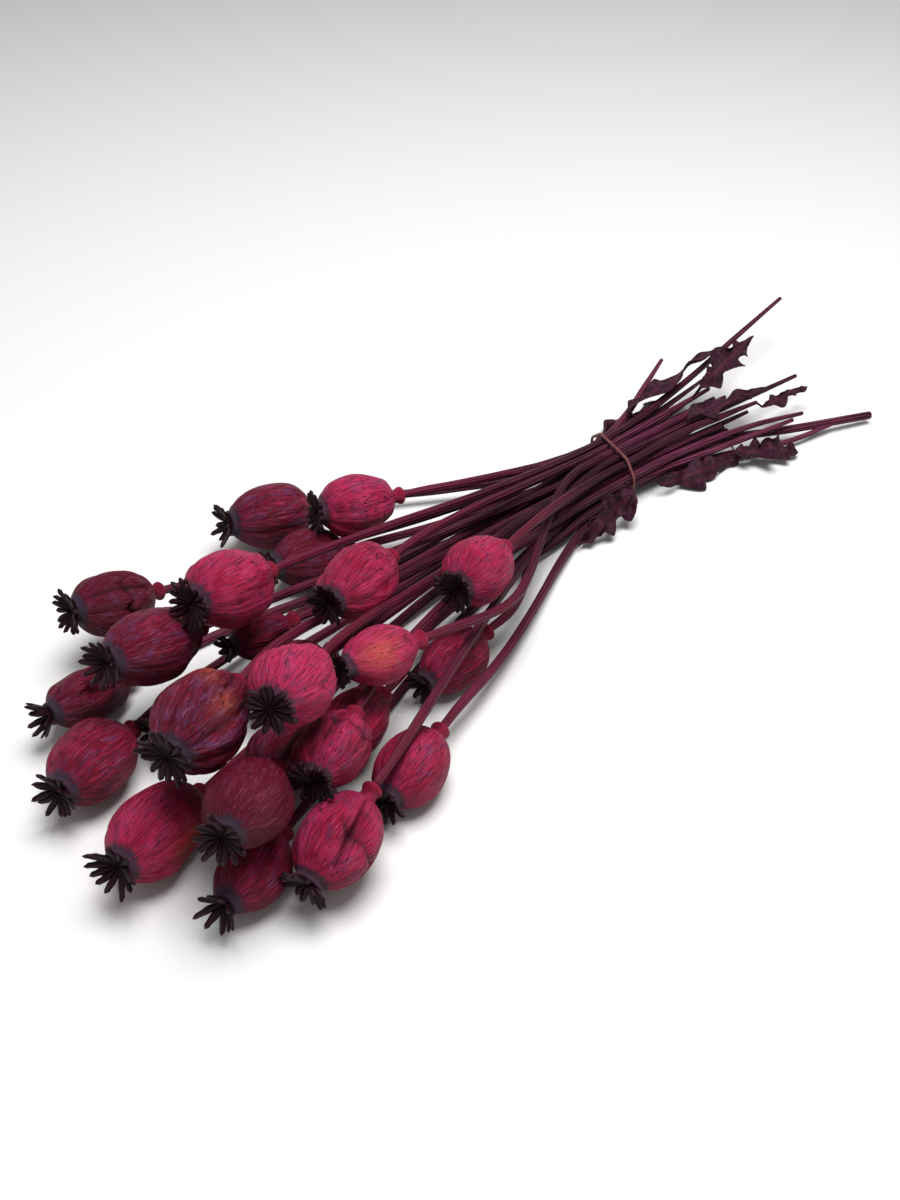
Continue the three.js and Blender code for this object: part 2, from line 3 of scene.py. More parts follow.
import bpy
import numpy as np
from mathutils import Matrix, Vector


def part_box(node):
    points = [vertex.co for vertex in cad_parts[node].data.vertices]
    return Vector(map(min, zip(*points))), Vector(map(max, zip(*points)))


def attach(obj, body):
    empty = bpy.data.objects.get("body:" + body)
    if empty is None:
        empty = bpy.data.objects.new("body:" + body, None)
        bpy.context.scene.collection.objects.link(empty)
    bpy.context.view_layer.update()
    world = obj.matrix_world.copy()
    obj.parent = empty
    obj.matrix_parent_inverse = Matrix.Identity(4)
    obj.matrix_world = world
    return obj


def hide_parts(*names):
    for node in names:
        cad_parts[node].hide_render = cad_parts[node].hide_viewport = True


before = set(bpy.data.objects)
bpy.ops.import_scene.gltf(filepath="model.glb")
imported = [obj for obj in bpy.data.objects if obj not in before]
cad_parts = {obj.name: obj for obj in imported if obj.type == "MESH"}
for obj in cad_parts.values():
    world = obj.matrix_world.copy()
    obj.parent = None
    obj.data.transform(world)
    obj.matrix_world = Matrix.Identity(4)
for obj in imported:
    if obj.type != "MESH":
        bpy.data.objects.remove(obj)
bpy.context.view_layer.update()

bl_info = {
    "name": "Poppy seed head bunch",
    "version": (1, 0, 0),
    "blender": (4, 5, 0),
    "location": "3D View > Sidebar > Poppy bunch",
    "description": "Dresses a tied bunch of dried poppy seed heads: heads, stems, leaves, tie and stage",
    "category": "Object",
}

MM = 0.001
BODY = "root"
HEAD_COUNT = 25
LEAF_NAMES = (
    "leaf_front",
    "leaf_near",
    "leaf_near_tip",
    "leaf_far",
    "leaf_top",
    "leaf_middle",
    "leaf_end",
    "leaf_back",
)

# The camera: turned from +X towards +Y and raised above the surface, in degrees, aimed in millimetres.
VIEW_TURN = 49
VIEW_RISE = 40
VIEW_DISTANCE = 625
VIEW_TARGET = (77.29, 20.76, 25)
VIEW_LENS = 39
VIEW_SENSOR = 36

# The plain capsule's outline from the stem's end to the crown: radius and height in millimetres.
PLAIN_RADIUS = 17.0
PLAIN_HALF = 19.0
NECK_LENGTH = 8.0
CROWN_DEPTH = 2.5  # from the capsule's top to the middle of the crown
CROWN_SHARE = 0.63  # of the capsule's radius
MERIDIANS = 40
HEAD_GRAIN_STEP = 91.0  # keeps the heads' patterns apart
CHANCE_DENTS = 7  # shallow dents at chance places on each capsule
OUTLINE = (
    (0.8, -27.6),
    (2.6, -27.5),
    (4.0, -27.0),
    (4.8, -25.8),
    (4.4, -24.5),
    (3.7, -23.4),
    (3.4, -22.0),
    (4.5, -20.2),
    (7.8, -18.7),
    (12.2, -15.6),
    (15.6, -10.2),
    (17.1, -3.2),
    (17.1, 3.2),
    (15.9, 9.4),
    (13.2, 14.4),
    (9.6, 17.8),
    (6.8, 19.4),
    (6.0, 20.6),
    (6.6, 21.8),
    (5.2, 22.4),
    (1.4, 21.9),
)

# How each head looks: the number of its rays and how far their tips rise in millimetres, the number of its
# ribs and their depth as a share of its radius, how strong its wrinkles are, how lopsided it is in
# millimetres, its tone, which is painted light and shade for how the head sits in the light (darker below
# 0, paler above), and how much plum veils it, the plum being part uneven dye and part painted sheen.
# A dent is its level along the capsule (-1 at the neck, 1 at the crown), its angle round the axis from the
# side that faces the camera, and its width, length and depth in millimetres. A fold runs from one level and
# angle to another, with its width and depth. A blush is a patch with little dye: its level, angle, size and
# strength.
PLAIN_LOOK = {
    "rays": 14,
    "lift": 4.0,
    "ribs": 9,
    "rib_depth": 0.042,
    "wrinkle": 0.3,
    "lump": 1.8,
    "light_and_tone": 0.0,
    "veil": 0.85,
    "dents": (),
    "folds": (),
    "blush": (),
}
LOOKS = {
    1: {"light_and_tone": -0.6, "veil": 1.2, "lift": 6.0, "ribs": 10},
    2: {"light_and_tone": 0.75, "rays": 14, "lift": 2.5, "rib_depth": 0.05},
    3: {"light_and_tone": -1.0, "rib_depth": 0.04},
    4: {"light_and_tone": 0.6, "rays": 17, "lift": 3.0, "ribs": 10, "dents": ((-0.45, 35, 5, 4, 0.9),)},
    5: {
        "light_and_tone": -1.7,
        "veil": 0.6,
        "rays": 15,
        "ribs": 8,
        "rib_depth": 0.05,
        "folds": ((-0.1, 55, -0.08, -65, 1.4, 3.2), (0.7, 25, -0.8, 12, 1.4, 0.9)),
    },
    6: {
        "light_and_tone": -0.7,
        "veil": 1.2,
        "lift": 5.0,
        "ribs": 10,
        "wrinkle": 0.4,
        "dents": ((-0.72, -50, 9, 8, 2.6),),
    },
    7: {
        "light_and_tone": -0.9,
        "rays": 10,
        "lift": 7.0,
        "dents": ((0.1, -2, 5, 4.5, 7.0), (-0.65, 0, 7, 6, 2.2)),
        "folds": ((-0.35, 30, 0.6, 5, 1.2, 0.9),),
    },
    8: {"light_and_tone": -0.3, "lift": 5.0, "ribs": 12, "rib_depth": 0.02, "wrinkle": 0.35},
    9: {
        "light_and_tone": -0.9,
        "veil": 1.3,
        "rays": 14,
        "lift": 3.5,
        "ribs": 11,
        "rib_depth": 0.14,
        "wrinkle": 1.2,
        "dents": ((-0.3, -25, 6, 9, 1.6), (0.25, 20, 5, 6, 1.2)),
        "blush": ((-0.8, 45, 8, 1.0), (0.05, -15, 6, 0.6), (-0.3, 20, 4, 0.5)),
    },
    10: {"light_and_tone": 1.1, "rays": 14, "lift": 2.0, "ribs": 10, "rib_depth": 0.035},
    11: {
        "light_and_tone": 0.5,
        "veil": 0.6,
        "rays": 13,
        "lift": 6.0,
        "blush": ((-0.15, -60, 11, 0.9),),
        "dents": ((0, -80, 9, 5, 1),),
    },
    12: {"light_and_tone": -1.3, "veil": 0.25, "rays": 14, "ribs": 8, "rib_depth": 0.02, "wrinkle": 0.15},
    13: {"light_and_tone": -0.4, "rays": 9, "lift": 7.0, "rib_depth": 0.02},
    14: {
        "light_and_tone": 0.2,
        "rays": 13,
        "ribs": 7,
        "rib_depth": 0.05,
        "dents": ((0.05, -20, 8, 8, 3.2), (-0.5, 25, 7, 7, 1.5)),
        "folds": ((-0.9, 0, 0.75, -25, 1.6, 2.2), (0.1, -80, -0.05, 15, 1.3, 1.6)),
    },
    15: {
        "light_and_tone": 0.1,
        "rays": 18,
        "lift": 2.5,
        "ribs": 8,
        "rib_depth": 0.05,
        "folds": (
            (-0.95, 20, 0.5, 25, 1.3, 1.3),
            (-0.3, -45, -0.2, 60, 1.2, 1.3),
            (-0.7, -30, 0.5, -35, 1.2, 1.0),
        ),
    },
    16: {"light_and_tone": 0.0, "rays": 10},
    17: {"light_and_tone": -0.8, "rays": 14},
    18: {"light_and_tone": 0.1, "rays": 11, "rib_depth": 0.04},
    19: {"light_and_tone": 0.2, "veil": 0.6, "lift": 3.0, "ribs": 10},
    20: {"light_and_tone": 1.2, "rays": 13, "lift": 2.5, "rib_depth": 0.045, "blush": ((0.3, 5, 9, 1.0),)},
    21: {"light_and_tone": 0.5, "rays": 15, "lift": 3.0, "ribs": 12, "rib_depth": 0.02, "wrinkle": 0.25},
    22: {"light_and_tone": -0.2, "rays": 10, "rib_depth": 0.04},
    23: {
        "light_and_tone": -0.5,
        "rays": 8,
        "ribs": 8,
        "rib_depth": 0.07,
        "wrinkle": 0.5,
        "dents": ((0.2, 20, 5, 5, 2.0), (-0.3, -25, 5, 5, 1.5)),
    },
    24: {"light_and_tone": -0.8},
    25: {"light_and_tone": -0.8},
}

# The crown's rays
RAY_STEPS = 11
RAY_STRIPS = 6
RAY_SPREAD = 0.006  # half-width of the narrow ray that is spun round, as a share of its length
RAY_INNER = 0.08  # where a ray starts, as a share of the crown radius
RAY_RIDGE = 0.95  # height of the line along a ray's middle
RAY_THICKNESS = 0.9
RAY_FILL = 0.37  # a ray's greatest half-width, as a share of its place on the rim
RAY_TAPER = 0.3  # how much of its width a ray loses towards its tip
RAY_TIP = 0.88  # where a ray's tip starts to round, as a share of its length

# The stems
STEM_SIDES = 54
STEM_CUTS = 119
STEM_GROOVE = 0.13  # depth between a stem's ridges, as a share of its radius
STOUT_STEM = 9  # the stem that stays stout as far as its cut end
FORKED_STEM = 18  # the stem that meets the stout one near its end
FORK_SHARE = 0.4  # where it meets it, as a share of the stout stem's last stretch
STEM_OVERLAP = 0.9  # how far a stem reaches into its knob
CUT_TAPER = (0.68, 0.86)  # how thin a stem is at its cut end and one ring further on
CUT_WALL = 0.3  # wall round the hollow of a cut end, as a share of the radius
CUT_DEPTH = 0.008  # depth of that hollow, as a share of the stem's length
STEM_GRAIN_RADIUS = 2.2
STEM_GRAIN_STEP = 67.0  # keeps the stems' patterns apart
RING_SIZE = 6  # fewest points that make a layer of a CAD stem a ring
RING_REACH = 6  # the CAD stem's points this near the neck are its first ring

# The leaves
LEAF_STEPS = 110
LEAF_STRIPS = 22
LEAF_THICKNESS = 0.5
PLAIN_NOTCH = 0.36  # share of a leaf's width left between its lobes
LEAF_NOTCH = {"leaf_far": 0.85, "leaf_middle": 0.55}  # the same for leaves with shallower lobes
LEAF_BASE_REACH = 3.0  # the CAD leaf's points this near its base are its first row
LEAF_CLEAR = 0.4  # least height of a leaf above the surface
STALK_WIDTH = 0.9  # half-width of a leaf stalk

CLEAR = 0.02  # least height of capsules, crowns and stems above the surface

# The stage, in metres but for the gap under the bunch
FLOOR_GAP = 0.2
FLOOR_SIZE = 12
LIGHT_PLACE = (-0.05, 0.1, 1.3)
LIGHT_SIZE = 0.9
CLIP_START = 0.01


def linear(code):
    """A linear colour with alpha from an sRGB hex code."""
    parts = [int(code[i:i + 2], 16) / 255 for i in (1, 3, 5)]
    return [p / 12.92 if p <= 0.04045 else ((p + 0.055) / 1.055) ** 2.4 for p in parts] + [1.0]


def ramp(value, low, high):
    """A smooth step from 0 at low to 1 at high."""
    share = np.clip((value - low) / (high - low), 0, 1)
    return share * share * (3 - 2 * share)


def unit(vector):
    return np.asarray(vector, float) / np.linalg.norm(vector)


def between(at, rows, vectors):
    """Vectors read off at any place between rows that each have one."""
    return np.stack([np.interp(at, rows, vectors[:, k]) for k in range(3)], axis=1)


def to_camera():
    """The direction from the bunch to the camera."""
    turn = math.radians(VIEW_TURN)
    rise = math.radians(VIEW_RISE)
    return np.array((math.cos(rise) * math.cos(turn), math.cos(rise) * math.sin(turn), math.sin(rise)))


def ripple(angle, level, turns, rises, seed, waves=10):
    """A smooth random pattern round and along a capsule or a stem, about -2 to 2, from summed waves."""
    random = np.random.default_rng(seed)
    total = np.zeros_like(angle)
    for _ in range(waves):
        turn = random.integers(turns[0], turns[1] + 1)
        rise = random.uniform(*rises)
        total += np.sin(turn * angle + rise * level + random.uniform(0, 2 * math.pi))
    return total / math.sqrt(waves / 2)


def cad_mesh(name):
    """A CAD node's own points in millimetres, merged, and its triangles."""
    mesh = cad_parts[name].data
    points = np.zeros(len(mesh.vertices) * 3, np.float32)
    mesh.vertices.foreach_get("co", points)
    mesh.calc_loop_triangles()
    corners = np.zeros(len(mesh.loop_triangles) * 3, np.int32)
    mesh.loop_triangles.foreach_get("vertices", corners)
    places = np.round(points.reshape(-1, 3).astype(float) / MM, 3)
    merged, back = np.unique(places, axis=0, return_inverse=True)
    return merged, back.reshape(-1)[corners].reshape(-1, 3)


def layers(triangles, first):
    """The points of a mesh layer by layer along its edges, from the first ones on."""
    beside = {}
    for corners in triangles.tolist():
        for corner in corners:
            beside.setdefault(corner, set()).update(corners)
    layer = set(first)
    seen = set(layer)
    found = []
    while layer:
        found.append(sorted(layer))
        layer = {other for point in layer for other in beside[point]} - seen
        seen |= layer
    return found


def find_heads():
    """Each head's place, axis, radius and half length, and its stem's rings, read from the CAD."""
    heads = []
    for number in range(1, HEAD_COUNT + 1):
        points, triangles = cad_mesh(f"seed_head_{number:02d}")
        stem, stem_triangles = cad_mesh(f"stem_{number:02d}")
        poles = np.argsort(np.bincount(triangles.ravel()))[-2:]
        gaps = [np.linalg.norm(stem - points[pole], axis=1).min() for pole in poles]
        neck, crown = points[poles[np.argsort(gaps)]]
        axis = unit(crown - neck)
        half = (np.linalg.norm(crown - neck) - NECK_LENGTH - CROWN_DEPTH) / 2
        middle = neck + axis * (NECK_LENGTH + half)
        level = (points - middle) @ axis
        spread = np.linalg.norm(points - middle - np.outer(level, axis), axis=1)
        facing = to_camera() - axis * (to_camera() @ axis)
        side = unit(facing)
        end = np.flatnonzero(np.linalg.norm(stem - neck, axis=1) < RING_REACH)
        rings = [stem[ring] for ring in layers(stem_triangles, end) if len(ring) >= RING_SIZE]
        if len(rings) < 3:
            raise RuntimeError(f"The rings of stem_{number:02d} were not found")
        heads.append({
            "number": number,
            "middle": middle,
            "axis": axis,
            "side": side,
            "up": np.cross(axis, side),
            "radius": spread[np.abs(level) < half].max(),
            "half": half,
            "rings": rings,
            "look": {**PLAIN_LOOK, **LOOKS.get(number, {})},
        })
    return heads


def place(points, head):
    """Points about a head's own axis, in millimetres, moved to where the head is."""
    frame_rows = np.stack([head["side"], head["up"], head["axis"]])
    return points @ frame_rows + head["middle"]


def points_of(mesh):
    points = np.zeros(len(mesh.vertices) * 3)
    mesh.vertices.foreach_get("co", points)
    return points.reshape(-1, 3) / MM


def move_points(mesh, points):
    mesh.vertices.foreach_set("co", (points * MM).ravel())
    mesh.update()


def mark(mesh, name, values):
    """Keeps a number or a vector for each point, for the material to read."""
    values = np.asarray(values, np.float32)
    kind, field = ("FLOAT_VECTOR", "vector") if values.ndim == 2 else ("FLOAT", "value")
    attribute = mesh.attributes.new(name, kind, "POINT")
    attribute.data.foreach_set(field, values.ravel())


def select_only(piece):
    bpy.ops.object.select_all(action="DESELECT")
    piece.select_set(True)
    bpy.context.view_layer.objects.active = piece


def apply_modifier(piece, kind, **settings):
    """Adds a modifier with its settings and applies it."""
    modifier = piece.modifiers.new(kind.title(), kind)
    for name, value in settings.items():
        setattr(modifier, name, value)
    select_only(piece)
    bpy.ops.object.modifier_apply(modifier=modifier.name)


def copy_piece(piece, name):
    """A copy of a modelled piece with its own mesh."""
    copy = bpy.data.objects.new(name, piece.data.copy())
    copy.data.name = name
    bpy.context.scene.collection.objects.link(copy)
    return copy


def discard(piece):
    bpy.data.objects.remove(piece, do_unlink=True)


def finish_piece(piece, material, node=None):
    """Smooths a piece, gives it its material and ties it to the frame."""
    piece.data.materials.clear()
    piece.data.materials.append(material)
    select_only(piece)
    bpy.ops.object.shade_smooth()
    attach(piece, BODY)
    if node:
        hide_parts(node)


def add(tree, kind, inputs=None, **options):
    """Adds a node with its options. An input takes a value, or an output to be linked to it."""
    node = tree.nodes.new(kind)
    for name, value in options.items():
        setattr(node, name, value)
    for name, value in (inputs or {}).items():
        if isinstance(value, bpy.types.NodeSocket):
            tree.links.new(value, node.inputs[name])
        else:
            node.inputs[name].default_value = value
    return node


def new_material(name):
    material = bpy.data.materials.new(name)
    material.use_nodes = True
    material.node_tree.nodes.clear()
    return material, material.node_tree


def dyed_capsule(settings):
    """Dried seed capsule, dyed: a thin woody skin with fibres from neck to crown. It shows as a satin
    crimson, blotched with plum, part where the dye took badly and part painted sheen, with a grey bloom
    under the crown. Its furrows, creases, dents and folds carry painted shade, and each head's tone paints
    light and
    shade on it: darker fibres and no rose on shaded heads, more rose on lit ones."""
    material, tree = new_material("dyed dried capsule")
    grain = add(tree, "ShaderNodeAttribute", attribute_name="grain").outputs["Vector"]
    along, furrow_shade_and_speck, blush, light_and_tone, veil = [
        add(tree, "ShaderNodeAttribute", attribute_name=name).outputs["Fac"]
        for name in ("along", "furrow_shade_and_speck", "blush", "light_and_tone", "veil")
    ]
    # Fibres about 0.7 mm wide and ten times as long
    drawn = add(tree, "ShaderNodeMapping", {"Vector": grain, "Scale": (1, 1, 0.09)}).outputs[0]
    fibre = add(
        tree, "ShaderNodeTexNoise", {"Vector": drawn, "Scale": 1 / 0.7, "Detail": 6, "Roughness": 0.75}
    ).outputs["Fac"]
    # Hair-fine fibres, drawn 0.4 mm wide so that they show
    hair = add(tree, "ShaderNodeMapping", {"Vector": grain, "Scale": (1, 1, 0.07)}).outputs[0]
    hair = add(
        tree, "ShaderNodeTexNoise", {"Vector": hair, "Scale": 1 / 0.42, "Detail": 3, "Roughness": 0.6}
    ).outputs["Fac"]
    # Blotches about 5.5 mm wide, longer along the capsule
    spread = add(tree, "ShaderNodeMapping", {"Vector": grain, "Scale": (1, 1, 0.6)}).outputs[0]
    blotch = add(
        tree,
        "ShaderNodeTexNoise",
        {"Vector": spread, "Scale": 1 / 5.5, "Detail": 5, "Roughness": 0.68, "Distortion": 0.5},
    ).outputs["Fac"]
    # Finer mottling about 1.9 mm wide
    mottle = add(
        tree, "ShaderNodeTexNoise", {"Vector": spread, "Scale": 1 / 1.9, "Detail": 4, "Roughness": 0.7}
    ).outputs["Fac"]
    blotch = add(tree, "ShaderNodeMix", {0: 0.42, 2: blotch, 3: mottle}).outputs[0]
    # Broad uneven take-up of the dye, about 14 mm wide
    broad = add(
        tree, "ShaderNodeTexNoise", {"Vector": grain, "Scale": 1 / 14, "Detail": 2, "Roughness": 0.5}
    ).outputs["Fac"]
    # Specks about 1.7 mm wide, in groups
    speck = add(
        tree, "ShaderNodeTexNoise", {"Vector": spread, "Scale": 1 / 1.7, "Detail": 2, "Roughness": 0.5}
    ).outputs["Fac"]
    crowd = add(tree, "ShaderNodeMath", {0: broad, 1: 0.35, 2: speck}, operation="MULTIPLY_ADD").outputs[0]
    # The tone paints light and shade on each head: it shifts the fibres towards shade or crimson and lays
    # painted light in rose.
    fibre_and_light = add(tree, "ShaderNodeMath", {0: light_and_tone, 1: 0.13, 2: fibre}, operation="MULTIPLY_ADD").outputs[0]
    lit = add(tree, "ShaderNodeMath", {0: light_and_tone, 1: 0.22, 2: broad}, operation="MULTIPLY_ADD").outputs[0]
    ragged = add(
        tree, "ShaderNodeMath", {0: blotch, 1: 0.22, 2: along}, operation="MULTIPLY_ADD"
    ).outputs[0]
    patch = add(tree, "ShaderNodeMath", {0: blotch, 1: 0.9, 2: -0.28}, operation="MULTIPLY_ADD").outputs[0]
    patch = add(tree, "ShaderNodeMath", {0: patch, 1: 2.6}, operation="MULTIPLY", use_clamp=True).outputs[0]
    ember = add(tree, "ShaderNodeMath", {0: patch, 1: blush}, operation="MULTIPLY").outputs[0]
    # Each coat's pattern, the values between which it fades in, its greatest share and its fade
    coats = {
        # Painted light and shade: the fibres' share of crimson follows each head's tone.
        "fibre": (fibre_and_light, 0.41, 0.6, 1.0, "LINEAR"),
        # Painted light: rose on heads of paler tone, over broad uneven dye.
        "lit": (lit, 0.42, 0.68, 0.62, "LINEAR"),
        # Plum blotches, part uneven dye and part painted sheen.
        "blotch": (blotch, 0.49, 0.6, 0.75, "SMOOTHSTEP"),
        "dark hair": (hair, 0.49, 0.38, 0.85, "LINEAR"),
        "pale hair": (hair, 0.56, 0.68, 0.3, "LINEAR"),
        "knob": (along, 0.19, 0.1, 0.65, "LINEAR"),
        "joint": (along, 0.055, 0.02, 0.75, "LINEAR"),
        "collar": (ragged, 1.01, 1.07, 0.9, "SMOOTHSTEP"),
        # Painted shade in the furrows, creases, dents and folds.
        "hollow": (furrow_shade_and_speck, 0.25, 1.0, 0.75, "LINEAR"),
        "speck": (crowd, 0.83, 0.88, 0.75, "LINEAR"),
    }
    share = {
        name: add(
            tree,
            "ShaderNodeMapRange",
            {"Value": pattern, "From Min": start, "From Max": full, "To Max": most},
            interpolation_type=fade,
        ).outputs[0]
        for name, (pattern, start, full, most, fade) in coats.items()
    }
    # The plum's share, part uneven dye and part painted sheen, set for each head.
    plum_dye_and_sheen = add(tree, "ShaderNodeMath", {0: share["blotch"], 1: veil}, operation="MULTIPLY").outputs[0]
    colour = settings.shade
    for amount, tint in (
        (share["fibre"], settings.crimson),
        (share["lit"], settings.rose_and_light),
        (plum_dye_and_sheen, settings.plum),
        (share["dark hair"], settings.shade),
        (share["pale hair"], settings.pale),
        (ember, settings.ember),
        (share["knob"], settings.knob),
        (share["joint"], settings.furrow_shade_and_speck),
        (share["collar"], settings.bloom),
        # Painted shade in the furrows, creases, dents and folds.
        (share["hollow"], settings.furrow_shade_and_speck),
        (share["speck"], settings.furrow_shade_and_speck),
    ):
        colour = add(tree, "ShaderNodeMix", {0: amount, 6: colour, 7: tint}, data_type="RGBA").outputs[2]
    height = add(tree, "ShaderNodeMath", {0: blotch, 1: 0.8, 2: fibre}, operation="MULTIPLY_ADD").outputs[0]
    height = add(tree, "ShaderNodeMath", {0: hair, 1: 0.5, 2: height}, operation="MULTIPLY_ADD").outputs[0]
    bump = add(
        tree, "ShaderNodeBump", {"Height": height, "Strength": 1.0, "Distance": 0.75 * MM}
    ).outputs[0]
    rough = add(
        tree,
        "ShaderNodeMapRange",
        {"Value": fibre, "From Min": 0.3, "From Max": 0.7, "To Min": 0.56, "To Max": 0.42},
    ).outputs[0]
    shader = add(
        tree,
        "ShaderNodeBsdfPrincipled",
        {"Base Color": colour, "Roughness": rough, "Normal": bump, "IOR": 1.48, "Specular IOR Level": 0.14},
    )
    add(tree, "ShaderNodeOutputMaterial", {"Surface": shader.outputs[0]})
    return material


def dried_stigma(settings):
    """Dried stigma rays: hard, dark and slightly waxy, with a paler worn line along each ray's ridge."""
    material, tree = new_material("dried stigma rays")
    coords = add(tree, "ShaderNodeTexCoord").outputs["Object"]
    ridge = add(tree, "ShaderNodeAttribute", attribute_name="ridge").outputs["Fac"]
    # Shrivelled texture about 1.2 mm wide
    grit = add(
        tree,
        "ShaderNodeTexNoise",
        {"Vector": coords, "Scale": 1 / (1.2 * MM), "Detail": 4, "Roughness": 0.65},
    ).outputs["Fac"]
    colour = add(
        tree, "ShaderNodeMix", {0: grit, 6: settings.crown_dark, 7: settings.crown_red}, data_type="RGBA"
    ).outputs[2]
    worn = add(tree, "ShaderNodeMath", {0: grit, 1: ridge}, operation="MULTIPLY").outputs[0]
    worn = add(tree, "ShaderNodeMapRange", {"Value": worn, "From Min": 0.3, "From Max": 0.56}).outputs[0]
    colour = add(
        tree, "ShaderNodeMix", {0: worn, 6: colour, 7: settings.crown_line}, data_type="RGBA"
    ).outputs[2]
    bump = add(
        tree, "ShaderNodeBump", {"Height": grit, "Strength": 0.6, "Distance": 0.4 * MM}
    ).outputs[0]
    shader = add(
        tree,
        "ShaderNodeBsdfPrincipled",
        {"Base Color": colour, "Roughness": 0.45, "Normal": bump, "IOR": 1.48, "Specular IOR Level": 0.18},
    )
    add(tree, "ShaderNodeOutputMaterial", {"Surface": shader.outputs[0]})
    return material


def dried_stem(settings):
    """Dried flower stem: a ribbed straw, dyed plum, with paler ridges, part wear and part painted
    highlight, dark grooves of painted shade, and painted shade on the stretch from the tie to the head.
    """
    material, tree = new_material("dried ribbed stem")
    grain = add(tree, "ShaderNodeAttribute", attribute_name="grain").outputs["Vector"]
    ridge, along, light_and_tone = [
        add(tree, "ShaderNodeAttribute", attribute_name=name).outputs["Fac"]
        for name in ("ridge", "along", "light_and_tone")
    ]
    # Fibres about 0.6 mm wide and 17 mm long
    drawn = add(tree, "ShaderNodeMapping", {"Vector": grain, "Scale": (1, 1, 0.035)}).outputs[0]
    fibre = add(
        tree, "ShaderNodeTexNoise", {"Vector": drawn, "Scale": 1 / 0.6, "Detail": 4, "Roughness": 0.65}
    ).outputs["Fac"]
    # Stains about 13 mm long
    stained = add(tree, "ShaderNodeMapping", {"Vector": grain, "Scale": (1, 1, 0.3)}).outputs[0]
    stain = add(
        tree, "ShaderNodeTexNoise", {"Vector": stained, "Scale": 1 / 4, "Detail": 3, "Roughness": 0.6}
    ).outputs["Fac"]
    # The ridges lift the plum and the pale of painted highlight; the grooves keep the painted shade.
    lift = add(tree, "ShaderNodeMath", {0: ridge, 1: 0.35, 2: fibre}, operation="MULTIPLY_ADD").outputs[0]
    lift = add(tree, "ShaderNodeMath", {0: light_and_tone, 1: 0.12, 2: lift}, operation="MULTIPLY_ADD").outputs[0]
    redder = add(tree, "ShaderNodeMath", {0: stain, 1: 0.6, 2: along}, operation="MULTIPLY_ADD").outputs[0]
    # Raised fibres, paler ridges that are part wear and part painted highlight, the darker stretch past the
    # tie that is painted shade inside the bunch, and the redder one near the head: each one's pattern, the
    # values between which it fades in, its greatest share and its colour
    colour = settings.groove
    for pattern, start, full, most, tint in (
        (lift, 0.45, 0.85, 1.0, settings.plum),
        # Paler ridges: part wear, part painted highlight.
        (lift, 0.72, 0.98, 0.8, settings.worn),
        # Painted shade on the stretch from the tie to the head, inside the bunch.
        (along, 0.24, 0.4, 0.55, settings.groove),
        (redder, 0.85, 1.45, 0.6, settings.red),
    ):
        amount = add(
            tree,
            "ShaderNodeMapRange",
            {"Value": pattern, "From Min": start, "From Max": full, "To Max": most},
        ).outputs[0]
        colour = add(tree, "ShaderNodeMix", {0: amount, 6: colour, 7: tint}, data_type="RGBA").outputs[2]
    bump = add(
        tree, "ShaderNodeBump", {"Height": fibre, "Strength": 0.6, "Distance": 0.4 * MM}
    ).outputs[0]
    rough = add(
        tree,
        "ShaderNodeMapRange",
        {"Value": stain, "From Min": 0.3, "From Max": 0.7, "To Min": 0.42, "To Max": 0.6},
    ).outputs[0]
    shader = add(
        tree,
        "ShaderNodeBsdfPrincipled",
        {"Base Color": colour, "Roughness": rough, "Normal": bump, "IOR": 1.48, "Specular IOR Level": 0.14},
    )
    add(tree, "ShaderNodeOutputMaterial", {"Surface": shader.outputs[0]})
    return material


def withered_leaf(settings):
    """Withered leaf: a thin, crumpled blade gone nearly black, with redder veins and a dull bloom."""
    material, tree = new_material("withered leaf")
    coords = add(tree, "ShaderNodeTexCoord").outputs["Object"]
    vein = add(tree, "ShaderNodeAttribute", attribute_name="vein").outputs["Fac"]
    # Crumples about 3 mm wide
    crumple = add(
        tree, "ShaderNodeTexNoise", {"Vector": coords, "Scale": 1 / (3 * MM), "Detail": 5, "Roughness": 0.7}
    ).outputs["Fac"]
    share = add(
        tree, "ShaderNodeMapRange", {"Value": crumple, "From Min": 0.38, "From Max": 0.66}
    ).outputs[0]
    colour = add(
        tree, "ShaderNodeMix", {0: share, 6: settings.blade, 7: settings.bloom}, data_type="RGBA"
    ).outputs[2]
    colour = add(tree, "ShaderNodeMix", {0: vein, 6: colour, 7: settings.vein}, data_type="RGBA").outputs[2]
    bump = add(
        tree, "ShaderNodeBump", {"Height": crumple, "Strength": 0.8, "Distance": 0.8 * MM}
    ).outputs[0]
    shader = add(
        tree,
        "ShaderNodeBsdfPrincipled",
        {"Base Color": colour, "Roughness": 0.62, "Normal": bump, "IOR": 1.45, "Specular IOR Level": 0.14},
    )
    add(tree, "ShaderNodeOutputMaterial", {"Surface": shader.outputs[0]})
    return material


def elastic_band(settings):
    """Elastic band: dull extruded rubber, dusty pink-brown, with fine scuffs."""
    material, tree = new_material("elastic rubber band")
    coords = add(tree, "ShaderNodeTexCoord").outputs["Object"]
    # Scuffs about 1.5 mm wide
    scuff = add(
        tree,
        "ShaderNodeTexNoise",
        {"Vector": coords, "Scale": 1 / (1.5 * MM), "Detail": 4, "Roughness": 0.6},
    ).outputs["Fac"]
    share = add(tree, "ShaderNodeMapRange", {"Value": scuff, "From Min": 0.35, "From Max": 0.65}).outputs[0]
    colour = add(
        tree, "ShaderNodeMix", {0: share, 6: settings.dark, 7: settings.dusty}, data_type="RGBA"
    ).outputs[2]
    bump = add(
        tree, "ShaderNodeBump", {"Height": scuff, "Strength": 0.4, "Distance": 0.2 * MM}
    ).outputs[0]
    shader = add(
        tree,
        "ShaderNodeBsdfPrincipled",
        {"Base Color": colour, "Roughness": 0.55, "Normal": bump, "IOR": 1.5, "Specular IOR Level": 0.4},
    )
    add(tree, "ShaderNodeOutputMaterial", {"Surface": shader.outputs[0]})
    return material


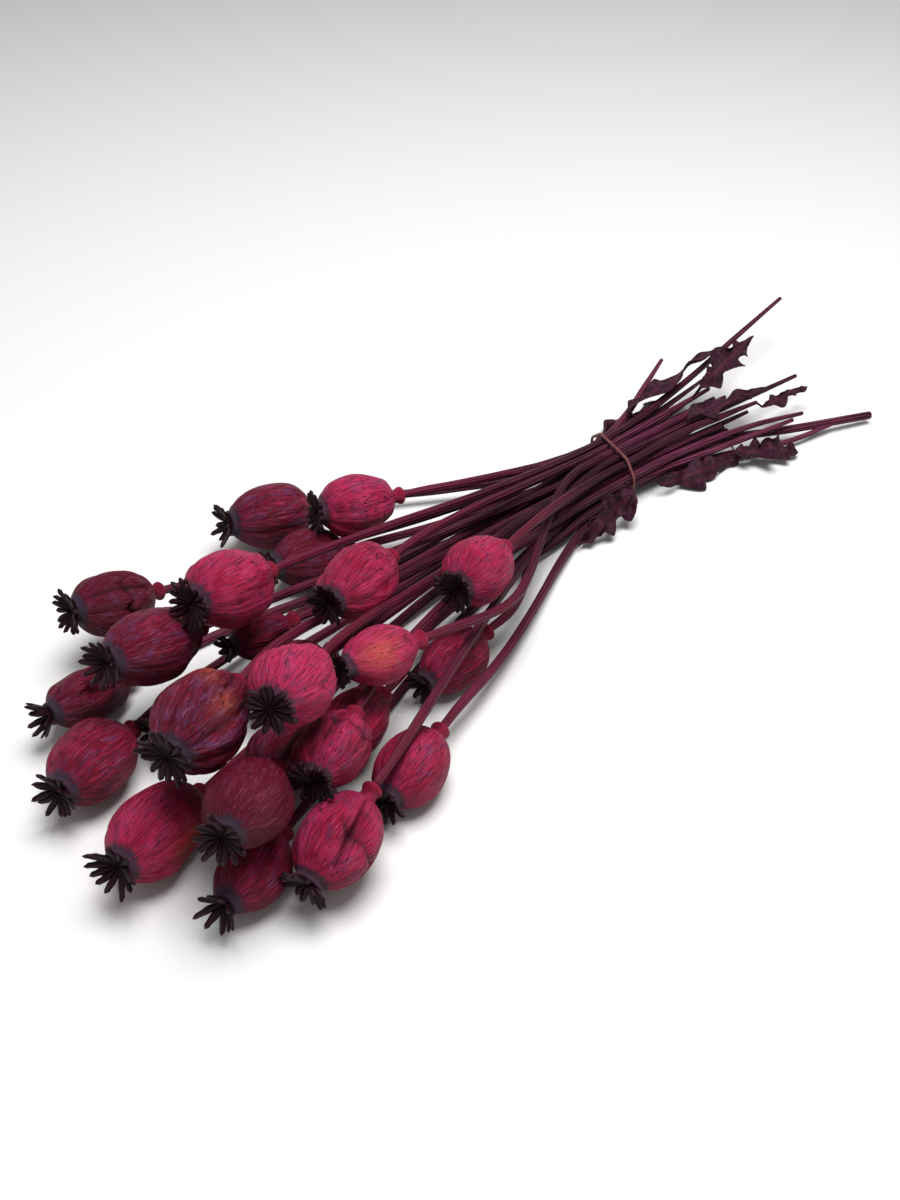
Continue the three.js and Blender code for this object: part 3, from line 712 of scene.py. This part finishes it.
def turned_capsule():
    """One plain capsule with its neck and knob, drawn up ring by ring about Z."""
    first = OUTLINE[0]
    bpy.ops.object.select_all(action="DESELECT")
    bpy.ops.mesh.primitive_circle_add(
        vertices=MERIDIANS, radius=first[0] * MM, location=(0, 0, first[1] * MM)
    )
    piece = bpy.context.object
    bpy.ops.object.transform_apply(location=True, rotation=False, scale=False)
    bpy.ops.object.mode_set(mode="EDIT")
    bpy.ops.mesh.select_all(action="SELECT")
    for before, after in zip(OUTLINE, OUTLINE[1:]):
        rise = (after[1] - before[1]) * MM
        grow = after[0] / before[0]
        bpy.ops.mesh.extrude_region_move(TRANSFORM_OT_translate={"value": (0, 0, rise)})
        bpy.ops.transform.resize(value=(grow, grow, 1), center_override=(0, 0, after[1] * MM))
    bpy.ops.mesh.edge_face_add()
    bpy.ops.mesh.poke()
    bpy.ops.mesh.select_all(action="DESELECT")
    bpy.ops.object.mode_set(mode="OBJECT")
    lowest = points_of(piece.data)[:, 2] < first[1] + 0.01
    piece.data.vertices.foreach_set("select", lowest)
    lowest_edges = [all(lowest[v] for v in edge.vertices) for edge in piece.data.edges]
    piece.data.edges.foreach_set("select", lowest_edges)
    bpy.ops.object.mode_set(mode="EDIT")
    bpy.ops.mesh.edge_face_add()
    bpy.ops.mesh.poke()
    bpy.ops.mesh.select_all(action="SELECT")
    bpy.ops.mesh.normals_make_consistent(inside=False)
    bpy.ops.object.mode_set(mode="OBJECT")
    apply_modifier(piece, "SUBSURF", levels=2, render_levels=2)
    return piece


def flat_distance(angle, level, start, end, head):
    """How far each point of the unrolled skin is from a line between two places, in millimetres."""
    radius = head["radius"]
    half = head["half"]
    first = np.array((math.radians(start[1]) * radius, start[0] * half))
    last = np.array((math.radians(end[1]) * radius, end[0] * half))
    spots = np.stack([angle * radius, level * half], axis=1)
    run = last - first
    share = np.clip((spots - first) @ run / (run @ run), 0, 1)
    return np.linalg.norm(spots - first - share[:, None] * run, axis=1)


def shape_capsule(plain, head, settings):
    """Fits the plain capsule to one head: its size, ribs, wrinkles, dents and folds, and its marks."""
    look = head["look"]
    seed = head["number"] * 10
    random = np.random.default_rng(seed)
    angle = np.arctan2(plain[:, 1], plain[:, 0])
    reach = np.hypot(plain[:, 0], plain[:, 1])
    level = plain[:, 2] / PLAIN_HALF
    on_body = ramp(level, -1.12, -0.86)
    reach = reach * (1 + on_body * (head["radius"] / PLAIN_RADIUS - 1))
    below = np.clip(plain[:, 2], None, -PLAIN_HALF) + PLAIN_HALF
    above = np.clip(plain[:, 2], PLAIN_HALF, None) - PLAIN_HALF
    height = np.clip(level, -1, 1) * head["half"] + below + above
    skin = ramp(level, -1.0, -0.72) * (1 - ramp(level, 0.82, 1.04))
    # Ribs, unevenly spaced and wandering a little
    phases = random.uniform(0, 2 * math.pi, 4)
    drift = 0.16 * np.sin(angle + phases[0]) + 0.1 * np.sin(2 * angle + phases[1])
    drift += 0.07 * np.sin(2.6 * level + phases[2])
    wave = np.sin((angle + drift) * look["ribs"] / 2 + phases[3])
    lobe = np.sqrt(wave * wave + 0.012)
    push = -look["rib_depth"] * head["radius"] * (1 - lobe) * skin
    # This mark gathers painted shade for the rib furrows, wrinkles, dents and folds.
    furrow_shade_and_speck = 0.75 * np.clip(1 - lobe * 2.2, 0, 1) * skin * min(1, look["rib_depth"] / 0.09)
    # Wrinkles that wander along the capsule
    field = ripple(angle, level, (5, 13), (-4.0, 4.0), seed + 1, 14)
    crease = np.exp(-((field / 0.2) ** 2))
    strength = ramp(ripple(angle, level, (1, 4), (-3.0, 3.0), seed + 2), -0.6, 1.2)
    push -= settings.wrinkle_depth / MM * look["wrinkle"] / PLAIN_LOOK["wrinkle"] * crease * strength * skin
    furrow_shade_and_speck += 0.3 * crease * strength * skin
    fine = ripple(angle, level, (24, 44), (-3.0, 3.0), seed + 3, 16)
    push += 0.07 * fine * skin
    # A lopsided body
    push -= look["lump"] * ramp(ripple(angle, level, (1, 3), (-2.5, 2.5), seed + 4, 6), -1.5, 1.5) * skin
    chance = [
        (
            random.uniform(-0.75, 0.7),
            random.uniform(-180, 180),
            random.uniform(4, 9),
            random.uniform(4, 9),
            deep,
        )
        for deep in random.uniform(0.3, 1.3, CHANCE_DENTS)
    ]
    for dent in (*look["dents"], *chance):
        turn = angle - math.radians(dent[1])
        across = np.arctan2(np.sin(turn), np.cos(turn)) * head["radius"] / dent[2]
        down = (level - dent[0]) * head["half"] / dent[3]
        bowl = np.exp(-(across ** 2 + down ** 2))
        push -= dent[4] * bowl * skin
        furrow_shade_and_speck += 0.12 * dent[4] * bowl ** 3
    for fold in look["folds"]:
        gap = flat_distance(angle, level + 0.05 * field, fold[0:2], fold[2:4], head)
        crease = np.exp(-((gap / fold[4]) ** 1.5))
        push -= fold[5] * crease * skin
        furrow_shade_and_speck += 0.8 * crease
    blush = np.zeros_like(angle)
    for spot in look["blush"]:
        gap = flat_distance(angle, level, spot[0:2], (spot[0] + 0.01, spot[1]), head)
        blush = np.maximum(blush, spot[3] * np.exp(-((gap / spot[2]) ** 2)))
    reach = np.maximum(reach + push, 0)
    local = np.stack([reach * np.cos(angle), reach * np.sin(angle), height], axis=1)
    world = place(local, head)
    world[:, 2] = np.maximum(world[:, 2], CLEAR)
    outline = np.array(OUTLINE)
    run = np.concatenate([[0], np.cumsum(np.linalg.norm(np.diff(outline, axis=0), axis=1))])
    path = np.interp(plain[:, 2], outline[:-2, 1], run[:-2])
    offset = HEAD_GRAIN_STEP * head["number"]
    grain = np.stack(
        [
            head["radius"] * np.cos(angle),
            head["radius"] * np.sin(angle) + offset,
            path * head["half"] / PLAIN_HALF,
        ],
        axis=1,
    )
    marks = {
        "grain": grain,
        "along": path / run[-3],
        "furrow_shade_and_speck": np.clip(furrow_shade_and_speck, 0, 1),
        "blush": blush,
        "light_and_tone": np.full_like(angle, look["light_and_tone"]),
        "veil": np.full_like(angle, look["veil"]),
    }
    return world, marks


def narrow_ray():
    """One ray as a narrow flat bar along X that can be spun round Z. It keeps its own place along,
    across and through itself."""
    bpy.ops.object.select_all(action="DESELECT")
    bpy.ops.mesh.primitive_grid_add(x_subdivisions=RAY_STEPS, y_subdivisions=RAY_STRIPS, size=2 * MM)
    piece = bpy.context.object
    apply_modifier(piece, "SOLIDIFY", thickness=1 * MM, offset=-1)
    points = points_of(piece.data)
    own = np.stack([(points[:, 0] + 1) / 2, points[:, 1], points[:, 2] + 1], axis=1)
    mark(piece.data, "own_place", own)
    narrow = points.copy()
    narrow[:, 0] = 0.2 + own[:, 0]
    narrow[:, 1] = own[:, 1] * RAY_SPREAD
    narrow[:, 2] = own[:, 2] * 0.1
    move_points(piece.data, narrow)
    return piece


def spin_rays(ray, name, count):
    """A ring of rays: the narrow ray copied round Z."""
    piece = copy_piece(ray, name)
    select_only(piece)
    bpy.ops.object.mode_set(mode="EDIT")
    bpy.ops.mesh.select_all(action="SELECT")
    turn = 2 * math.pi * (count - 1) / count
    bpy.ops.mesh.spin(steps=count - 1, dupli=True, angle=turn, center=(0, 0, 0), axis=(0, 0, 1))
    bpy.ops.object.mode_set(mode="OBJECT")
    return piece


def shape_crown(mesh, head, settings):
    """Fits a ring of narrow rays to one head: fingers that touch near the middle and part at their tips."""
    look = head["look"]
    count = look["rays"]
    crown = CROWN_SHARE * head["radius"]
    points = points_of(mesh)
    own = np.zeros(len(points) * 3)
    mesh.attributes["own_place"].data.foreach_get("vector", own)
    along, across, through = own.reshape(-1, 3).T
    along = np.clip(along, 0, 1)
    pitch = 2 * math.pi / count
    index = np.round(np.arctan2(points[:, 1], points[:, 0]) / pitch).astype(int) % count
    random = np.random.default_rng(head["number"] + 500)
    stretch = random.uniform(0.86, 1.1, count)[index]
    lean = random.uniform(-0.16, 0.16, count)[index]
    rise = random.uniform(0.7, 1.35, count)[index]
    droop = random.uniform(0.0, 1.2, count)[index]
    start = random.uniform(0, pitch)
    reach = crown * (RAY_INNER + (stretch - RAY_INNER) * along)
    tip = np.sqrt(np.clip(1 - (np.clip(along - RAY_TIP, 0, 1) / (1 - RAY_TIP)) ** 2, 0, 1))
    widest = min(settings.ray_width / MM / 2, RAY_FILL * pitch * crown)
    half_width = np.minimum(math.pi * reach / count * 1.02, widest) * np.maximum(tip, 0.06)
    half_width *= 1 - RAY_TAPER * ramp(along, 0.5, 0.85)
    body = settings.ray_thickness / MM * (0.55 + 0.45 * np.maximum(tip, 0.1))
    ridge = 1 - np.abs(across)
    top = RAY_RIDGE * ridge * np.maximum(tip, 0.15)
    bow = look["lift"] * rise * along ** 1.6 - droop * ramp(along, 0.75, 1.0)
    height = head["half"] + CROWN_DEPTH + 0.6 + bow + np.where(through > 0.5, top, -body)
    turn = start + index * pitch + lean * along ** 2
    sideways = half_width * across
    local = np.stack(
        [
            reach * np.cos(turn) - sideways * np.sin(turn),
            reach * np.sin(turn) + sideways * np.cos(turn),
            height,
        ],
        axis=1,
    )
    world = place(local, head)
    world[:, 2] = np.maximum(world[:, 2], CLEAR)
    line = np.where(through > 0.5, ramp(ridge, 0.55, 0.95), 0.0) * (0.35 + 0.65 * along)
    mesh.attributes.remove(mesh.attributes["own_place"])
    return world, line


def straight_rod():
    """One straight, smooth rod along X, 0 to 1, cut up along its length, with a hollow cut end."""
    bpy.ops.object.select_all(action="DESELECT")
    bpy.ops.mesh.primitive_cylinder_add(
        vertices=STEM_SIDES,
        radius=1 * MM,
        depth=1 * MM,
        location=(0.5 * MM, 0, 0),
        rotation=(0, math.pi / 2, 0),
    )
    piece = bpy.context.object
    bpy.ops.object.transform_apply(location=True, rotation=True, scale=True)
    points = points_of(piece.data)
    bpy.ops.object.mode_set(mode="EDIT")
    bpy.ops.mesh.select_mode(type="EDGE")
    bpy.ops.mesh.select_all(action="DESELECT")
    bpy.ops.object.mode_set(mode="OBJECT")
    for edge in piece.data.edges:
        ends = points[list(edge.vertices)]
        edge.select = bool(abs(ends[0][0] - ends[1][0]) > 0.5)
    bpy.ops.object.mode_set(mode="EDIT")
    bpy.ops.mesh.subdivide(number_cuts=STEM_CUTS)
    bpy.ops.mesh.select_all(action="DESELECT")
    bpy.ops.mesh.select_mode(type="FACE")
    bpy.ops.object.mode_set(mode="OBJECT")
    for face in piece.data.polygons:
        face.select = len(face.vertices) > 4 and face.center[0] < 0.5 * MM
    bpy.ops.object.mode_set(mode="EDIT")
    bpy.ops.mesh.inset(thickness=CUT_WALL * MM, depth=0)
    bpy.ops.mesh.extrude_region_move(TRANSFORM_OT_translate={"value": (CUT_DEPTH * MM, 0, 0)})
    bpy.ops.mesh.select_mode(type="VERT")
    bpy.ops.object.mode_set(mode="OBJECT")
    return piece


def lay_curve(points, radii):
    """A smooth curve through a stem's ring middles, thicker and thinner as the rings are."""
    bpy.ops.object.select_all(action="DESELECT")
    bpy.ops.curve.primitive_bezier_curve_add()
    curve = bpy.context.object
    bpy.ops.object.transform_apply(location=True, rotation=True, scale=True)
    curve.data.dimensions = "3D"
    curve.data.resolution_u = 10
    curve.data.use_radius = True
    curve.data.use_stretch = True
    curve.data.use_deform_bounds = True
    spline = curve.data.splines[0]
    spline.bezier_points.add(len(points) - 2)
    for spot, point, radius in zip(spline.bezier_points, points, radii):
        spot.co = point * MM
        spot.radius = radius
        spot.handle_left_type = "AUTO"
        spot.handle_right_type = "AUTO"
    return curve


def shape_stem(rod, head, fork):
    """Ribs a copy of the straight rod and bends it along one stem's rings, from cut end to knob."""
    number = head["number"]
    rings = head["rings"][::-1]
    middles = np.array([ring.mean(axis=0) for ring in rings])
    radii = np.array([np.linalg.norm(ring - ring.mean(axis=0), axis=1).mean() for ring in rings])
    middles[-1] += unit(middles[-1] - middles[-2]) * STEM_OVERLAP
    if number != STOUT_STEM:
        radii[:2] *= CUT_TAPER
    if number == FORKED_STEM:
        middles[0] = fork
    length = np.linalg.norm(np.diff(middles, axis=0), axis=1).sum()
    stem = copy_piece(rod, f"ribbed_stem_{number:02d}")
    points = points_of(stem.data)
    share = points[:, 0]
    angle = np.arctan2(points[:, 2], points[:, 1])
    reach = np.hypot(points[:, 1], points[:, 2])
    random = np.random.default_rng(number + 900)
    twist = random.uniform(-2.5, 2.5)
    ridges = random.integers(7, 10)
    wave = np.cos(ridges * (angle + twist * share))
    lump = ripple(angle, share, (1, 2), (-40.0, 40.0), number + 700, 8)
    groove = STEM_GROOVE * (0.5 - 0.5 * wave)
    reach = reach * (1 - groove + 0.045 * lump)
    bent = np.stack([share * length, reach * np.cos(angle), reach * np.sin(angle)], axis=1)
    move_points(stem.data, bent)
    around = STEM_GRAIN_RADIUS * np.stack([np.cos(angle), np.sin(angle)], axis=1)
    offset = STEM_GRAIN_STEP * number
    grain = np.stack([around[:, 0], around[:, 1] + offset, share * length], axis=1)
    mark(stem.data, "grain", grain)
    mark(stem.data, "ridge", 0.5 + 0.5 * wave)
    mark(stem.data, "along", share)
    mark(stem.data, "light_and_tone", np.full_like(share, random.uniform(-1, 1)))
    curve = lay_curve(middles, radii)
    apply_modifier(stem, "CURVE", object=curve, deform_axis="POS_X")
    discard(curve)
    bent = points_of(stem.data)
    bent[:, 2] = np.maximum(bent[:, 2], CLEAR)
    move_points(stem.data, bent)
    return stem


def leaf_rows(name):
    """A CAD leaf's rows from its base to its tip: middles, side vectors and half-widths."""
    points, triangles = cad_mesh(name)
    tie = (np.array(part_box("tie_band")[0]) + np.array(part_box("tie_band")[1])) / 2 / MM
    spans = np.linalg.norm(points[:, None] - points[None], axis=2)
    ends = np.unravel_index(spans.argmax(), spans.shape)
    base = min(ends, key=lambda end: np.linalg.norm(points[end] - tie))
    first = np.flatnonzero(spans[base] < LEAF_BASE_REACH)
    middles = []
    sides = []
    widths = []
    for row in layers(triangles, first):
        spots = points[row]
        middle = spots.mean(axis=0)
        side = np.linalg.svd(spots - middle)[2][0]
        if sides and side @ sides[-1] < 0:
            side = -side
        middles.append(middle)
        sides.append(side)
        widths.append(np.abs((spots - middle) @ side).max())
    if len(middles) < 3:
        raise RuntimeError(f"The rows of {name} were not found")
    return np.array(middles), np.array(sides), np.array(widths)


def shape_leaf(name, index, spots, settings):
    """A crumpled, lobed blade in the place of one CAD leaf, on a stalk from the nearest stem."""
    middles, sides, widths = leaf_rows(name)
    foot = spots[np.linalg.norm(spots - middles[0], axis=1).argmin()]
    middles = np.concatenate([[foot, (foot + middles[0]) / 2], middles])
    sides = np.concatenate([sides[:1], sides[:1], sides])
    widths = np.concatenate([[STALK_WIDTH, STALK_WIDTH], widths])
    bpy.ops.object.select_all(action="DESELECT")
    bpy.ops.mesh.primitive_grid_add(x_subdivisions=LEAF_STEPS, y_subdivisions=LEAF_STRIPS, size=2 * MM)
    leaf = bpy.context.object
    leaf.name = f"crinkled_{name}"
    leaf.data.name = leaf.name
    points = points_of(leaf.data)
    along = np.clip((points[:, 0] + 1) / 2, 0, 1)
    across = points[:, 1]
    random = np.random.default_rng(index + 1300)
    rows = np.linspace(0, 1, len(middles))
    wide = np.maximum(widths, np.maximum(np.roll(widths, 1), np.roll(widths, -1)))
    wide[:3] = widths[:3]
    wide[-1] = widths[-1]
    middle = between(along, rows, middles)
    side = between(along, rows, sides)
    side /= np.linalg.norm(side, axis=1)[:, None]
    run = np.gradient(middles, axis=0)
    ahead = between(along, rows, run)
    normal = np.cross(ahead, side)
    normal /= np.linalg.norm(normal, axis=1)[:, None]
    half_width = np.interp(along, rows, wide)
    teeth = np.ones_like(along)
    ruffle = np.zeros_like(along)
    for part in (-1, 1):
        edge = LEAF_NOTCH.get(name, PLAIN_NOTCH) + 0.05 * np.sin(53 * along + part)
        spot = random.uniform(0.12, 0.2)
        while spot < 1:
            point = random.uniform(0.5, 1.2)
            span = random.uniform(0.07, 0.15)
            edge = np.maximum(edge, point * np.clip(1 - (np.abs(along - spot) / span) ** 1.4, 0, 1) ** 0.7)
            spot += random.uniform(0.12, 0.3)
        waves = [random.uniform(1.5, 4.5) for _ in range(3)]
        shifts = random.uniform(0, 2 * math.pi, 3)
        wave = sum(np.sin(2 * math.pi * cycles * along + shift) for cycles, shift in zip(waves, shifts))
        here = across * part > 0
        teeth = np.where(here, edge, teeth)
        ruffle = np.where(here, wave, ruffle)
    spread = across * half_width * (1 - np.abs(across) * (1 - teeth))
    forward = 0.35 * half_width * across ** 2 * (teeth - 0.3)
    crumple = ripple(2.2 * along * math.pi, across, (1, 4), (-5.0, 5.0), index + 1400, 12)
    curl = random.uniform(-0.25, 0.35)
    size = np.minimum(half_width / 8, 1.2)
    lift = settings.crumple / MM * size * (0.55 * ruffle * np.abs(across) ** 1.3 + 0.35 * crumple)
    lift += curl * half_width * across ** 2
    ahead /= np.linalg.norm(ahead, axis=1)[:, None]
    shaped = middle + side * spread[:, None] + normal * lift[:, None] + ahead * forward[:, None]
    shaped[:, 2] = np.maximum(shaped[:, 2], LEAF_CLEAR)
    move_points(leaf.data, shaped)
    vein = np.exp(-((across / 0.08) ** 2))
    rib = np.abs(((along * 7 - np.abs(across) * 1.2) % 1) - 0.5)
    vein = np.maximum(vein, 0.6 * np.exp(-((rib / 0.06) ** 2)))
    mark(leaf.data, "vein", vein)
    apply_modifier(leaf, "SOLIDIFY", thickness=LEAF_THICKNESS * MM, offset=0)
    return leaf


def stem_spots():
    """Points along the middle of every stem, for the leaf stalks to start from."""
    found = []
    for head in find_heads():
        middles = np.array([ring.mean(axis=0) for ring in head["rings"]])
        steps = np.linspace(0, len(middles) - 1, 12 * len(middles))
        found.append(between(steps, np.arange(len(middles)), middles))
    return np.concatenate(found)


def shape_tie():
    """The band, from a merged and rounded copy of the CAD ring."""
    tie = copy_piece(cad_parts["tie_band"], "elastic_tie")
    select_only(tie)
    bpy.ops.object.mode_set(mode="EDIT")
    bpy.ops.mesh.select_all(action="SELECT")
    bpy.ops.mesh.remove_doubles(threshold=0.001 * MM)
    bpy.ops.mesh.tris_convert_to_quads()
    bpy.ops.object.mode_set(mode="OBJECT")
    apply_modifier(tie, "SUBSURF", levels=2, render_levels=2)
    return tie


def colour_setting(name, description, code):
    """A colour for the sidebar, from its sRGB hex code."""
    return bpy.props.FloatVectorProperty(
        name=name, description=description, size=4, default=linear(code), subtype="COLOR"
    )


class HeadSettings(bpy.types.PropertyGroup):
    """Sizes and colours of the seed heads"""

    wrinkle_depth: bpy.props.FloatProperty(
        name="Wrinkle depth",
        description="How deep the creases of a capsule are",
        default=0.45 * MM,
        subtype="DISTANCE",
    )
    ray_width: bpy.props.FloatProperty(
        name="Ray width", description="Width of a crown's rays", default=3.4 * MM, subtype="DISTANCE"
    )
    ray_thickness: bpy.props.FloatProperty(
        name="Ray thickness",
        description="Thickness of a crown's rays",
        default=RAY_THICKNESS * MM,
        subtype="DISTANCE",
    )
    crimson: colour_setting("Crimson", "Dyed skin", "#9c0a36")
    # Shade is the skin between the fibres and also the painted shade on heads of darker tone.
    shade: colour_setting("Shade", "Skin between the fibres", "#4e031a")
    # Rose is laid on where the dye is thin and, by each head's tone, as painted light.
    rose_and_light: colour_setting("Rose", "Where the dye is thin", "#ae2a58")
    pale: colour_setting("Pale", "Pale dry fibres", "#ab6283")
    # Plum stands for dye that took badly and for painted sheen.
    plum: colour_setting("Plum", "Where the dye took badly", "#572a4d")
    bloom: colour_setting("Bloom", "Grey collar under the crown", "#352d3b")
    knob: colour_setting("Knob", "Neck and knob", "#86152f")
    ember: colour_setting("Ember", "Patches with little dye", "#b85c34")
    # This colour paints shade in furrows, creases, dents and folds, and colours the dark joint and the
    # specks.
    furrow_shade_and_speck: colour_setting("Furrow", "Dirt in furrows and specks", "#1a050c")
    crown_dark: colour_setting("Crown", "Dark of the rays", "#0c0406")
    crown_red: colour_setting("Crown red", "Red of the rays", "#2b0a15")
    crown_line: colour_setting("Crown line", "Worn line on a ray", "#5c404a")


class StemSettings(bpy.types.PropertyGroup):
    """Colours of the stems"""

    plum: colour_setting("Plum", "Dyed stem", "#541a34")
    # Groove paints shade between the ridges and on the stretch from the tie to the heads.
    groove: colour_setting("Groove", "Between the ridges", "#14040b")
    # Worn is wear on the ridges and also painted highlight.
    worn: colour_setting("Worn", "Worn ridges", "#7a3d57")
    red: colour_setting("Red", "Redder near the heads", "#721834")


class LeafSettings(bpy.types.PropertyGroup):
    """Size and colours of the leaves"""

    crumple: bpy.props.FloatProperty(
        name="Crumple", description="Height of a leaf's crumples", default=2.3 * MM, subtype="DISTANCE"
    )
    blade: colour_setting("Blade", "Withered blade", "#15060e")
    bloom: colour_setting("Bloom", "Dull bloom on the crumples", "#40192c")
    vein: colour_setting("Vein", "Veins", "#451a2b")


class TieSettings(bpy.types.PropertyGroup):
    """Colours of the tie"""

    dusty: colour_setting("Dusty pink", "Scuffed rubber", "#713b37")
    dark: colour_setting("Dark", "Rubber in the scuffs", "#4f2423")


class StageSettings(bpy.types.PropertyGroup):
    """Floor and light"""

    floor: colour_setting("Floor", "Plain pale floor", "#d2d1d0")
    sky: bpy.props.FloatProperty(name="Sky", description="Strength of the even light", default=0.36)
    key: bpy.props.FloatProperty(
        name="Key", description="Power of the large light above", default=27.0, subtype="POWER"
    )


class POPPY_OT_seed_heads(bpy.types.Operator):
    """Makes the capsules and their crowns"""

    bl_idname = "poppy.seed_heads"
    bl_label = "Make seed heads"

    def execute(self, context):
        settings = context.scene.poppy_heads
        skin = dyed_capsule(settings)
        rays = dried_stigma(settings)
        plain = turned_capsule()
        ray = narrow_ray()
        plain_points = points_of(plain.data)
        for head in find_heads():
            number = head["number"]
            capsule = copy_piece(plain, f"capsule_{number:02d}")
            world, marks = shape_capsule(plain_points, head, settings)
            move_points(capsule.data, world)
            for name, values in marks.items():
                mark(capsule.data, name, values)
            finish_piece(capsule, skin, f"seed_head_{number:02d}")
            crown = spin_rays(ray, f"crown_{number:02d}", head["look"]["rays"])
            world, line = shape_crown(crown.data, head, settings)
            move_points(crown.data, world)
            mark(crown.data, "ridge", line)
            finish_piece(crown, rays)
        discard(plain)
        discard(ray)
        return {"FINISHED"}


class POPPY_OT_stems(bpy.types.Operator):
    """Makes the ribbed stems"""

    bl_idname = "poppy.stems"
    bl_label = "Make stems"

    def execute(self, context):
        settings = context.scene.poppy_stems
        straw = dried_stem(settings)
        rod = straight_rod()
        heads = find_heads()
        last = [ring.mean(axis=0) for ring in heads[STOUT_STEM - 1]["rings"][-2:]]
        fork = last[1] + (last[0] - last[1]) * FORK_SHARE
        for head in heads:
            stem = shape_stem(rod, head, fork)
            finish_piece(stem, straw, f"stem_{head['number']:02d}")
        discard(rod)
        return {"FINISHED"}


class POPPY_OT_leaves(bpy.types.Operator):
    """Makes the withered leaves"""

    bl_idname = "poppy.leaves"
    bl_label = "Make leaves"

    def execute(self, context):
        settings = context.scene.poppy_leaves
        blade = withered_leaf(settings)
        spots = stem_spots()
        for index, name in enumerate(LEAF_NAMES):
            leaf = shape_leaf(name, index, spots, settings)
            finish_piece(leaf, blade, name)
        return {"FINISHED"}


class POPPY_OT_tie(bpy.types.Operator):
    """Makes the elastic tie"""

    bl_idname = "poppy.tie"
    bl_label = "Make tie"

    def execute(self, context):
        band = elastic_band(context.scene.poppy_tie)
        finish_piece(shape_tie(), band, "tie_band")
        return {"FINISHED"}


class POPPY_OT_stage(bpy.types.Operator):
    """Sets the floor, the light and the camera"""

    bl_idname = "poppy.stage"
    bl_label = "Set stage"

    def execute(self, context):
        settings = context.scene.poppy_stage
        scene = context.scene
        material, tree = new_material("pale studio floor")
        shader = add(tree, "ShaderNodeBsdfPrincipled", {"Base Color": settings.floor, "Roughness": 0.9})
        add(tree, "ShaderNodeOutputMaterial", {"Surface": shader.outputs[0]})
        bpy.ops.object.select_all(action="DESELECT")
        bpy.ops.mesh.primitive_plane_add(size=FLOOR_SIZE, location=(0, 0, -FLOOR_GAP * MM))
        floor = context.object
        floor.name = "studio_floor"
        floor.data.materials.append(material)
        world = bpy.data.worlds.new("soft studio")
        scene.world = world
        world.use_nodes = True
        back = world.node_tree.nodes["Background"]
        back.inputs["Color"].default_value = (1, 1, 1, 1)
        back.inputs["Strength"].default_value = settings.sky
        bpy.ops.object.light_add(type="AREA", location=LIGHT_PLACE)
        key = context.object
        key.name = "large_light_above"
        key.data.shape = "DISK"
        key.data.size = LIGHT_SIZE
        key.data.energy = settings.key
        target = np.array(VIEW_TARGET) * MM
        bpy.ops.object.camera_add(location=target + to_camera() * VIEW_DISTANCE * MM)
        camera = context.object
        camera.name = "photo_camera"
        camera.rotation_euler = (math.radians(90 - VIEW_RISE), 0, math.radians(90 + VIEW_TURN))
        camera.data.lens = VIEW_LENS
        camera.data.sensor_width = VIEW_SENSOR
        camera.data.clip_start = CLIP_START
        scene.camera = camera
        scene.view_settings.view_transform = "Standard"
        return {"FINISHED"}


class POPPY_PT_bunch(bpy.types.Panel):
    """Lists what the bunch is made of"""

    bl_idname = "POPPY_PT_bunch"
    bl_label = "Poppy bunch"
    bl_space_type = "VIEW_3D"
    bl_region_type = "UI"
    bl_category = "Poppy bunch"

    def draw(self, context):
        for group, operator in STEPS:
            box = self.layout.box()
            settings = getattr(context.scene, group)
            for name in settings.__annotations__:
                box.prop(settings, name)
            box.operator(operator.bl_idname)


GROUPS = {
    "poppy_heads": HeadSettings,
    "poppy_stems": StemSettings,
    "poppy_leaves": LeafSettings,
    "poppy_tie": TieSettings,
    "poppy_stage": StageSettings,
}
STEPS = (
    ("poppy_stage", POPPY_OT_stage),
    ("poppy_heads", POPPY_OT_seed_heads),
    ("poppy_stems", POPPY_OT_stems),
    ("poppy_leaves", POPPY_OT_leaves),
    ("poppy_tie", POPPY_OT_tie),
)


def register():
    for name, group in GROUPS.items():
        bpy.utils.register_class(group)
        setattr(bpy.types.Scene, name, bpy.props.PointerProperty(type=group))
    for _, operator in STEPS:
        bpy.utils.register_class(operator)
    bpy.utils.register_class(POPPY_PT_bunch)


def unregister():
    bpy.utils.unregister_class(POPPY_PT_bunch)
    for _, operator in reversed(STEPS):
        bpy.utils.unregister_class(operator)
    for name, group in GROUPS.items():
        delattr(bpy.types.Scene, name)
        bpy.utils.unregister_class(group)


def main():
    register()
    bpy.ops.poppy.stage()
    bpy.ops.poppy.seed_heads()
    bpy.ops.poppy.stems()
    bpy.ops.poppy.leaves()
    bpy.ops.poppy.tie()


if __name__ == "__main__":
    main()
